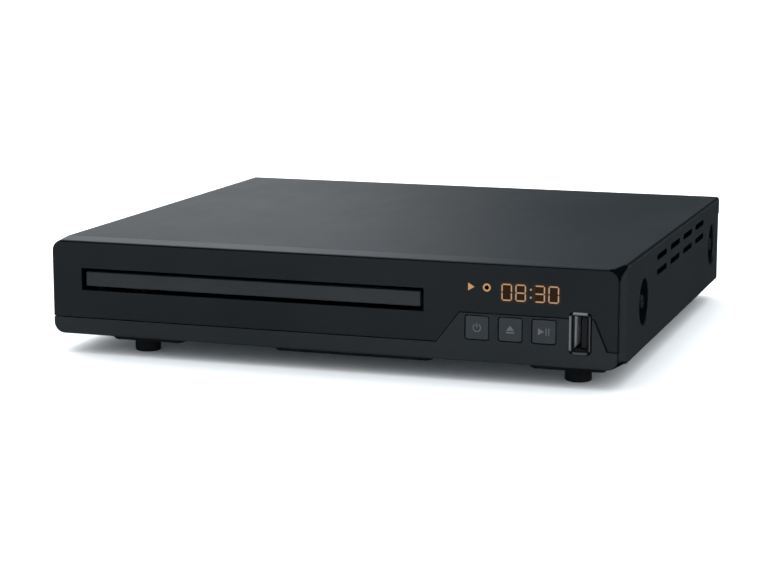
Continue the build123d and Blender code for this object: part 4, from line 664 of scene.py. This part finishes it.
class PLAYER_OT_display(bpy.types.Operator):
    """Lights the display's segments and finishes what is behind them"""

    bl_idname = "player.display"
    bl_label = "Display"

    def execute(self, context):
        looks = context.scene.player_display
        lit = Finish("lit_segments")
        patches = lit.noise(1.4, 2)
        pale = lit.mix(lit.x.ramp(*DIGITS_START), tuple(looks.marks), tuple(looks.digits))
        pale = lit.mix(patches.ramp(0.3, 0.7) * 0.2, pale, (0.50, 0.35, 0.20))
        pale = lit.mix(self.digit_border(lit) * lit.x.ramp(*DIGITS_START), pale, (0.16, 0.052, 0.008))
        pale = lit.mix(abs(lit.x - COLON).ramp(0.8, 1.0), tuple(looks.colon), pale)
        border = self.mark_border(lit)
        front = (lit.parts(lit.facing)[1] * -1).ramp(0.6, 0.8) * (1 - border)
        lit.coat(
            Base_Color=lit.mix(front, NEAR_BLACK, (0.10, 0.06, 0.04)), Roughness=0.4 + (patches - 0.5) * 0.1,
            Emission_Color=lit.mix(front, lit.mix(border, BLACK, (0.018, 0.017, 0.016)), pale),
            Emission_Strength=looks.power,
        )
        wear_finish(lit, "display_segments")
        wear_finish(moulded("display_housing", (0.020, 0.020, 0.022), 0.45), "display_module")
        wear_finish(moulded("receiver_epoxy", (0.010, 0.006, 0.012), 0.18, edge=0.2), "ir_receiver")
        return {"FINISHED"}

    def digit_border(self, lit):
        """1 on both sides of the digits' bars and 0 along their middle."""
        aside, above = digit_place(lit)
        span, rise = DIGIT_BARS
        return abs(aside - span).at_most(above).at_most(abs(above - rise)).ramp(0.1, 0.24)

    def mark_border(self, lit):
        """1 on the play mark's border, which hardly lights."""
        left, middle, width, half = PLAY_MARK
        slant = abs(lit.z - middle) / half + (lit.x - left) / width - 1
        return slant.at_least((lit.x - left) * -1).ramp(0.0, 0.1) * (1 - lit.x.ramp(*PLAY_MARK_END))


class PLAYER_OT_sockets(bpy.types.Operator):
    """Finishes the stick socket on the face and the sockets on the rear"""

    bl_idname = "player.sockets"
    bl_label = "Sockets"

    def execute(self, context):
        wear_finish(self.rim(), "usb_trim")
        wear_finish(self.shell(), "usb_shell")
        wear_finish(plated("socket_nickel", (0.70, 0.70, 0.69), 0.26), "hdmi_socket")
        insulator = moulded("socket_insulator", (0.0115, 0.0130, 0.0148), 0.5, specular=0.2)
        wear_finish(insulator, "usb_tongue", "hdmi_tongue")
        wear_finish(plated("barrel_nickel", (0.74, 0.73, 0.70), 0.22), "jack_barrels")
        wear_finish(plated("pin_nickel", (0.72, 0.72, 0.71), 0.24), "inlet_pins")
        wear_finish(moulded("inlet_plastic", (0.012, 0.012, 0.013), 0.48, edge=0.3), "mains_inlet")
        wear_finish(self.jack_plastic(), "jack_block")
        return {"FINISHED"}

    def rim(self):
        """Polished rim with a painted highlight along its outer edge, brightest on its top and left, and
        painted shade on its corners, inside and on most of its right side.
        """
        made = Finish("trim_gloss")
        haze = made.noise(2.5, 3)
        aside, up = made.x - SOCKET[0], made.z - SOCKET[1]
        painted_corner_shade = (abs(aside) - RIM_CORNER[0]).ramp(0, 0.7) * (abs(up) - RIM_CORNER[1]).ramp(0, 0.7)
        inward = (abs(aside) - RIM_HALF[0]).at_least(abs(up) - RIM_HALF[1]) * -1
        right = aside.ramp(2.0, 3.4)
        # painted highlight: brighter on the left and top bars than on the right and bottom ones
        side_highlights = made.mix(right, (0.105, 0.112, 0.118), (0.040, 0.043, 0.046))
        painted_highlight = made.mix(up.ramp(6.2, 7.0), side_highlights, (0.125, 0.132, 0.138))
        painted_highlight = made.mix((up * -1).ramp(6.2, 7.0), painted_highlight, (0.044, 0.047, 0.050))
        made.coat(Base_Color=painted_highlight, Roughness=0.22 + (haze - 0.5) * 0.1, Normal=made.rounded(0.2))
        # painted shade on the corners, inside the rim and on most of its right bar
        outer = 1 - inward.ramp(right * 0.3, right * 0.3 + 0.15)
        return made.blacken(painted_corner_shade.at_least(inward.ramp(0.6, 1.1) * 0.85).at_least(outer * right))

    def shell(self):
        """Nickel shell with painted shade at its mouth and on its floor, and painted light on its walls
        further in.
        """
        made = plated("usb_nickel_painted_light", (0.42, 0.43, 0.44), 0.34)
        inward = made.y - FRONT
        painted_lit_wall = inward.ramp(2.0, 3.0)
        low = made.z.ramp(SOCKET[1] - 5.9, SOCKET[1] - 5.2)
        # painted light on the walls, and painted shade at the mouth and on the floor
        tone = made.mix(painted_lit_wall * low, (0.012, 0.013, 0.014), (0.76, 0.78, 0.80))
        return made.coat(Base_Color=tone, Metallic=0.0)

    def jack_plastic(self):
        """Black block whose four insulators have their own colours."""
        made = moulded("jack_plastic", (0.014, 0.014, 0.015), 0.42)
        low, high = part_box("jack_barrels")
        x, z = (low.x + high.x) / 2 / MM, (low.z + high.z) / 2 / MM
        right, upper = (made.x - x).ramp(-0.1, 0.1), (made.z - z).ramp(-0.1, 0.1)
        lower_pair = made.mix(right, (0.42, 0.28, 0.016), (0.46, 0.145, 0.015))
        upper_pair = made.mix(right, (0.36, 0.022, 0.018), (0.46, 0.455, 0.43))
        dyed = made.mix(upper, lower_pair, upper_pair)
        speck = made.noise(3.0, 3)
        outside = (made.y - (low.y / MM - 1.05)).ramp(-0.02, 0.02)
        plain = made.mix(speck, (0.012, 0.012, 0.013), (0.017, 0.017, 0.018))
        # the dyed colours darkened in random specks
        specked_dye = made.mix(speck.ramp(0.2, 0.8) * 0.25, dyed, BLACK)
        return made.coat(Base_Color=made.mix(outside, plain, specked_dye))


class PLAYER_OT_tray(bpy.types.Operator):
    """Finishes the disc tray"""

    bl_idname = "player.tray"
    bl_label = "Disc tray"

    def execute(self, context):
        made = moulded("tray_plastic", (0.0135, 0.0145, 0.0155), 0.50, 0.3, specular=0.35)
        low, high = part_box("turntable")
        x, y = (low.x + high.x) / 2 / MM, (low.y + high.y) / 2 / MM
        across, along = made.x - x, made.y - y
        away = (across * across + along * along) ** 0.5
        rub = made.noise(1.2, 3, made.stretched(2.0, 2.0, 2.0)).ramp(0.45, 0.7)
        seat = away.ramp(*RUB_INNER) * (1 - away.ramp(*RUB_OUTER)) * rub
        made.coat(Roughness=made.noise(20, 3) * 0.12 + 0.44 - seat * 0.1)
        wear_finish(made, "disc_tray")
        return {"FINISHED"}


class PLAYER_OT_loader(bpy.types.Operator):
    """Finishes the loader: its frame, gears, motors, lift and clamp"""

    bl_idname = "player.loader"
    bl_label = "Loader"

    def execute(self, context):
        wear_finish(moulded("frame_plastic", (0.020, 0.020, 0.022), 0.50, 0.3), "loader_frame")
        gear = moulded("gear_nylon", (0.46, 0.44, 0.37), 0.40, 0.4, edge=0.1, bright_edge=1.1)
        wear_finish(gear, "feed_pinion", "feed_gear", "cam_slider", "motor_pulley")
        dark_gear = moulded("dark_gear", (0.020, 0.020, 0.022), 0.42, 0.4, edge=0.1)
        wear_finish(dark_gear, "pulley_gear", "drive_gear")
        motor = plated("motor_steel", (0.58, 0.58, 0.57), 0.34, brushed=6.0)
        wear_finish(motor, "loading_motor", "spindle_motor", "feed_motor")
        wear_finish(rubbery("belt_rubber", (0.012, 0.012, 0.012)), "loading_belt")
        zinc = plated("carriage_zinc", (0.60, 0.61, 0.62), 0.36, spangle=5.0)
        wear_finish(zinc, "carriage", "clamp_bridge")
        wear_finish(plated("rod_steel", (0.70, 0.70, 0.70), 0.16), "guide_rods")
        wear_finish(moulded("turntable_plastic", (0.016, 0.016, 0.017), 0.42), "turntable", "clamp_puck")
        wear_finish(plated("magnet_ferrite", (0.10, 0.10, 0.105), 0.55), "clamp_magnet")
        wear_finish(moulded("sled_resin", (0.018, 0.018, 0.019), 0.46, 0.5), "pickup_sled", "lens_holder")
        lens = Finish("lens_glass")
        ring = lens.noise(0.9, 2)
        lens.coat(
            Base_Color=lens.mix(ring.ramp(0.35, 0.65), (0.05, 0.08, 0.20), (0.10, 0.06, 0.22)),
            Roughness=0.04 + ring * 0.02, Coat_Weight=1.0, Coat_Roughness=0.02,
        )
        wear_finish(lens, "pickup_lens")
        return {"FINISHED"}


class PLAYER_OT_boards(bpy.types.Operator):
    """Finishes the boards and what stands on them"""

    bl_idname = "player.boards"
    bl_label = "Boards"

    def execute(self, context):
        wear_finish(self.board("board_green", (0.008, 0.060, 0.022), (0.016, 0.105, 0.040)), "main_board")
        tan = self.board("board_tan", (0.26, 0.15, 0.06), (0.34, 0.22, 0.10))
        wear_finish(tan, "power_board", "front_board")
        wear_finish(moulded("chip_epoxy", (0.012, 0.012, 0.013), 0.55, 0.15), "board_chips")
        wear_finish(moulded("connector_nylon", (0.46, 0.44, 0.38), 0.42), "board_connectors")
        wear_finish(plated("sink_aluminium", (0.72, 0.73, 0.74), 0.38, brushed=5.0), "heat_sink")
        wear_finish(self.sleeves(), "capacitors")
        wear_finish(self.wound(), "transformer")
        wear_finish(moulded("wire_sleeve", (0.42, 0.04, 0.03), 0.40), "power_harness")
        film = self.ribbon()
        wear_finish(film, "pickup_ribbon", "front_ribbon")
        self.rolling_ribbon(film)
        return {"FINISHED"}

    def rolling_ribbon(self, film):
        """The pickup's ribbon in three lengths: the lower one rides on the case, and the bend and the upper
        one ride on no body.
        """
        front, rear = (BEND_END, (0, -1, 0)), (BEND_END, (0, 1, 0))
        # the level leans back, so that the connector's end of the ribbon stays below it
        below, above = (LEVEL, (0, 0.1, -1)), (LEVEL, (0, -0.1, 1))
        lower = self.ribbon_length("pickup_ribbon_lower", film, "case", rear, below)
        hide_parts("pickup_ribbon")
        bend = self.ribbon_length("pickup_ribbon_bend", film, None, front)
        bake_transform(bend)
        upper = self.ribbon_length("pickup_ribbon_upper", film, None, rear, above)
        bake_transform(upper)

    def ribbon_length(self, name, film, body, *keeps):
        """What lies on the normal's side of each plane of the CAD ribbon, closed at the cuts."""
        bm = bmesh.new()
        bm.from_mesh(NODES["pickup_ribbon"].data)
        for place, normal in keeps:
            cut = bmesh.ops.bisect_plane(
                bm, geom=bm.verts[:] + bm.edges[:] + bm.faces[:], dist=1e-7,
                plane_co=place, plane_no=normal, clear_inner=True,
            )
            rim = [part for part in cut["geom_cut"] if isinstance(part, bmesh.types.BMEdge)]
            bmesh.ops.holes_fill(bm, edges=rim)
        return piece(bm, name, film, body)

    def board(self, name, ground, trace):
        """Laminate with tracks under its mask, small solder lands and a faint weave."""
        made = Finish(name)
        slow = made.noise(25, 2)
        rows = made.math("WRAP", made.y + (made.noise(14, 1) - 0.5) * 3, 1.2, 0.0)
        columns = made.math("WRAP", made.x + (made.noise(17, 1) - 0.5) * 3, 1.3, 0.0)
        turn = made.noise(9, 0).ramp(0.48, 0.52)
        track = turn * rows.ramp(0.55, 0.65) + (1 - turn) * columns.ramp(0.6, 0.7)
        lands = 1 - made.cells(2.6).ramp(0.16, 0.2)
        weave = made.noise(0.4, 1)
        tone = made.mix(track, ground, trace)
        tone = made.mix(lands, tone, (0.55, 0.55, 0.52))
        edge_normal = made.rounded(0.12)
        return made.coat(
            Base_Color=made.mix((slow - 0.5).at_least(0) * 0.4, tone, shade(ground, 0.6)),
            Roughness=0.34 + (weave - 0.5) * 0.1 - lands * 0.08,
            Metallic=lands * 0.9,
            Normal=made.relief(track * 0.5 + lands, 0.03, edge_normal),
        )

    def sleeves(self):
        """Dark sleeves with bare metal tops."""
        made = Finish("capacitor_sleeve")
        shrink = made.noise(1.5, 3)
        upright = made.parts(made.node("ShaderNodeNewGeometry").outputs["Normal"])[2]
        top = abs(upright).ramp(0.85, 0.95)
        tone = made.mix(shrink, (0.010, 0.014, 0.030), (0.016, 0.020, 0.042))
        return made.coat(
            Base_Color=made.mix(top, tone, (0.62, 0.62, 0.62)), Metallic=top,
            Roughness=0.3 + (shrink - 0.5) * 0.1, Normal=made.relief(shrink, 0.02, made.rounded(0.3)),
        )

    def wound(self):
        """Transformer: dark laminated core with yellow tape round its winding."""
        made = Finish("transformer_tape")
        low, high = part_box("transformer")
        along = (low.y + high.y) / 2 / MM
        core = 1 - (abs(made.y - along) - 3.55).ramp(-0.05, 0.05)
        wrap = made.math("WRAP", made.z, 2.2, 0.0).ramp(0.05, 0.2)
        creases = made.noise(2.0, 4)
        tape = made.mix(wrap, (0.35, 0.23, 0.02), (0.60, 0.42, 0.03))
        return made.coat(
            Base_Color=made.mix(core, tape, (0.022, 0.022, 0.024)),
            Roughness=0.42 + (creases - 0.5) * 0.2,
            Normal=made.relief(creases + wrap, 0.04, made.rounded(0.3)),
        )

    def ribbon(self):
        """Pale flat ribbon with fine conductors along it."""
        made = Finish("ribbon_film")
        lines = made.math("WRAP", made.x, 0.5, 0.0).ramp(0.28, 0.36)
        haze = made.noise(8, 3)
        tone = made.mix(lines * 0.5, (0.46, 0.46, 0.445), (0.30, 0.31, 0.325))
        return made.coat(
            Base_Color=made.mix(haze.ramp(0.3, 0.7) * 0.15, tone, (0.33, 0.34, 0.37)),
            Roughness=0.36 + (haze - 0.5) * 0.12,
            Normal=made.relief(lines, 0.02),
        )


class PLAYER_OT_studio(bpy.types.Operator):
    """Sets the pale floor, the soft lights and the camera"""

    bl_idname = "player.studio"
    bl_label = "Studio"

    def execute(self, context):
        looks = context.scene.player_studio
        self.floor(looks)
        self.world(context.scene)
        for values in SUNS:
            self.sun(*values)
        self.softbox("right_light", RIGHT_BOX_TURN, looks.bank_distance, RIGHT_BOX_SIZE, RIGHT_BOX_RADIANCE)
        self.light_bank(looks)
        self.camera(context.scene, looks)
        return {"FINISHED"}

    def floor(self, looks):
        """Pale disc that glows a little and that glossy surfaces don't show."""
        bm = bmesh.new()
        bmesh.ops.create_circle(bm, cap_ends=True, segments=96, radius=looks.floor_radius)
        mesh = bpy.data.meshes.new("studio_floor")
        bm.to_mesh(mesh)
        bm.free()
        made = Finish("floor_pale")
        cloud = made.noise(900, 2)
        made.coat(
            Base_Color=made.mix(cloud, shade(tuple(looks.floor), 0.99), tuple(looks.floor)), Roughness=0.8,
            Specular_IOR_Level=0.0, Emission_Color=(0.017, 0.021, 0.025), Emission_Strength=1.0,
        )
        mesh.materials.append(made.material)
        ground = bpy.data.objects.new("studio_floor", mesh)
        ground.visible_glossy = False
        bpy.context.scene.collection.objects.link(ground)

    def world(self, scene):
        """White behind the floor, and a dim room everywhere else."""
        scene.world = bpy.data.worlds.new("studio_world")
        room = Shader(scene.world)
        seen = room.node("ShaderNodeLightPath").outputs["Is Camera Ray"]
        back = room.node("ShaderNodeBackground", {}, {"Color": room.mix(seen, ROOM, WHITE)})
        room.node("ShaderNodeOutputWorld", {}, {"Surface": back.outputs["Background"]})
        scene.view_settings.view_transform = "Standard"

    def sun(self, name, strength, spread, shines, lean, turn):
        """A wide soft light from above, which may lean."""
        light = bpy.data.lights.new(name, "SUN")
        light.energy = strength
        light.color = DAYLIGHT
        light.angle = spread
        made = bpy.data.objects.new(name, light)
        made.rotation_euler = (-lean, 0, turn)
        made.visible_glossy = shines
        bpy.context.scene.collection.objects.link(made)

    def softbox(self, name, turn, reach, size, radiance):
        """An upright rectangle on the floor that faces the player, turned to the left of its back."""
        light = bpy.data.lights.new(name, "AREA")
        light.shape = "RECTANGLE"
        light.size, light.size_y = size
        light.energy = radiance * math.pi * size[0] * size[1]
        light.color = DAYLIGHT
        made = bpy.data.objects.new(name, light)
        made.location = (-reach * math.sin(turn), reach * math.cos(turn), 0.01 + size[1] / 2)
        made.rotation_euler = (-math.pi / 2, 0, turn)
        made.visible_camera = False
        made.visible_diffuse = False
        bpy.context.scene.collection.objects.link(made)

    def light_bank(self, looks):
        """Strips in a row behind the player on its left, dimmer towards the right."""
        size = (2 * looks.bank_distance * math.tan(BANK_STEP / 2), looks.bank_height)
        for k, share in enumerate(BANK_SHARES):
            turn = BANK_START + k * BANK_STEP
            self.softbox(f"bank_{k}", turn, looks.bank_distance, size, share * looks.bank_radiance)

    def camera(self, scene, looks):
        lens = bpy.data.cameras.new("player_camera")
        lens.sensor_fit = "HORIZONTAL"
        lens.sensor_width = 36.0
        lens.lens = looks.lens
        lens.clip_start = 0.01
        lens.clip_end = 50.0
        made = bpy.data.objects.new("player_camera", lens)
        made.matrix_world = (
            Matrix.Translation(CAMERA_PLACE)
            @ Matrix.Rotation(looks.turn, 4, "Z")
            @ Matrix.Rotation(math.pi / 2 - looks.tilt, 4, "X")
        )
        scene.collection.objects.link(made)
        scene.camera = made


class PLAYER_PT_looks(bpy.types.Panel):
    """Lists the steps that dress the disc player"""

    bl_idname = "PLAYER_PT_looks"
    bl_label = "Disc player"
    bl_space_type = "VIEW_3D"
    bl_region_type = "UI"
    bl_category = "Disc player"

    def draw(self, context):
        for step in STEPS:
            self.layout.operator(step.bl_idname)
        for name in GROUPS:
            looks = getattr(context.scene, name)
            for field in looks.bl_rna.properties:
                if field.identifier in looks.__annotations__:
                    self.layout.prop(looks, field.identifier)


GROUPS = {
    "player_case": CaseLooks,
    "player_keys": KeyLooks,
    "player_display": DisplayLooks,
    "player_studio": StudioLooks,
}
STEPS = (
    PLAYER_OT_case,
    PLAYER_OT_keys,
    PLAYER_OT_display,
    PLAYER_OT_sockets,
    PLAYER_OT_tray,
    PLAYER_OT_loader,
    PLAYER_OT_boards,
    PLAYER_OT_studio,
)


def register():
    for kind in (*GROUPS.values(), *STEPS, PLAYER_PT_looks):
        bpy.utils.register_class(kind)
    for name, kind in GROUPS.items():
        setattr(bpy.types.Scene, name, PointerProperty(type=kind))


def unregister():
    for name in GROUPS:
        delattr(bpy.types.Scene, name)
    for kind in (PLAYER_PT_looks, *reversed(STEPS), *reversed(GROUPS.values())):
        bpy.utils.unregister_class(kind)


def main():
    register()
    bpy.ops.player.case()
    bpy.ops.player.keys()
    bpy.ops.player.display()
    bpy.ops.player.sockets()
    bpy.ops.player.tray()
    bpy.ops.player.loader()
    bpy.ops.player.boards()
    bpy.ops.player.studio()


if __name__ == "__main__":
    main()
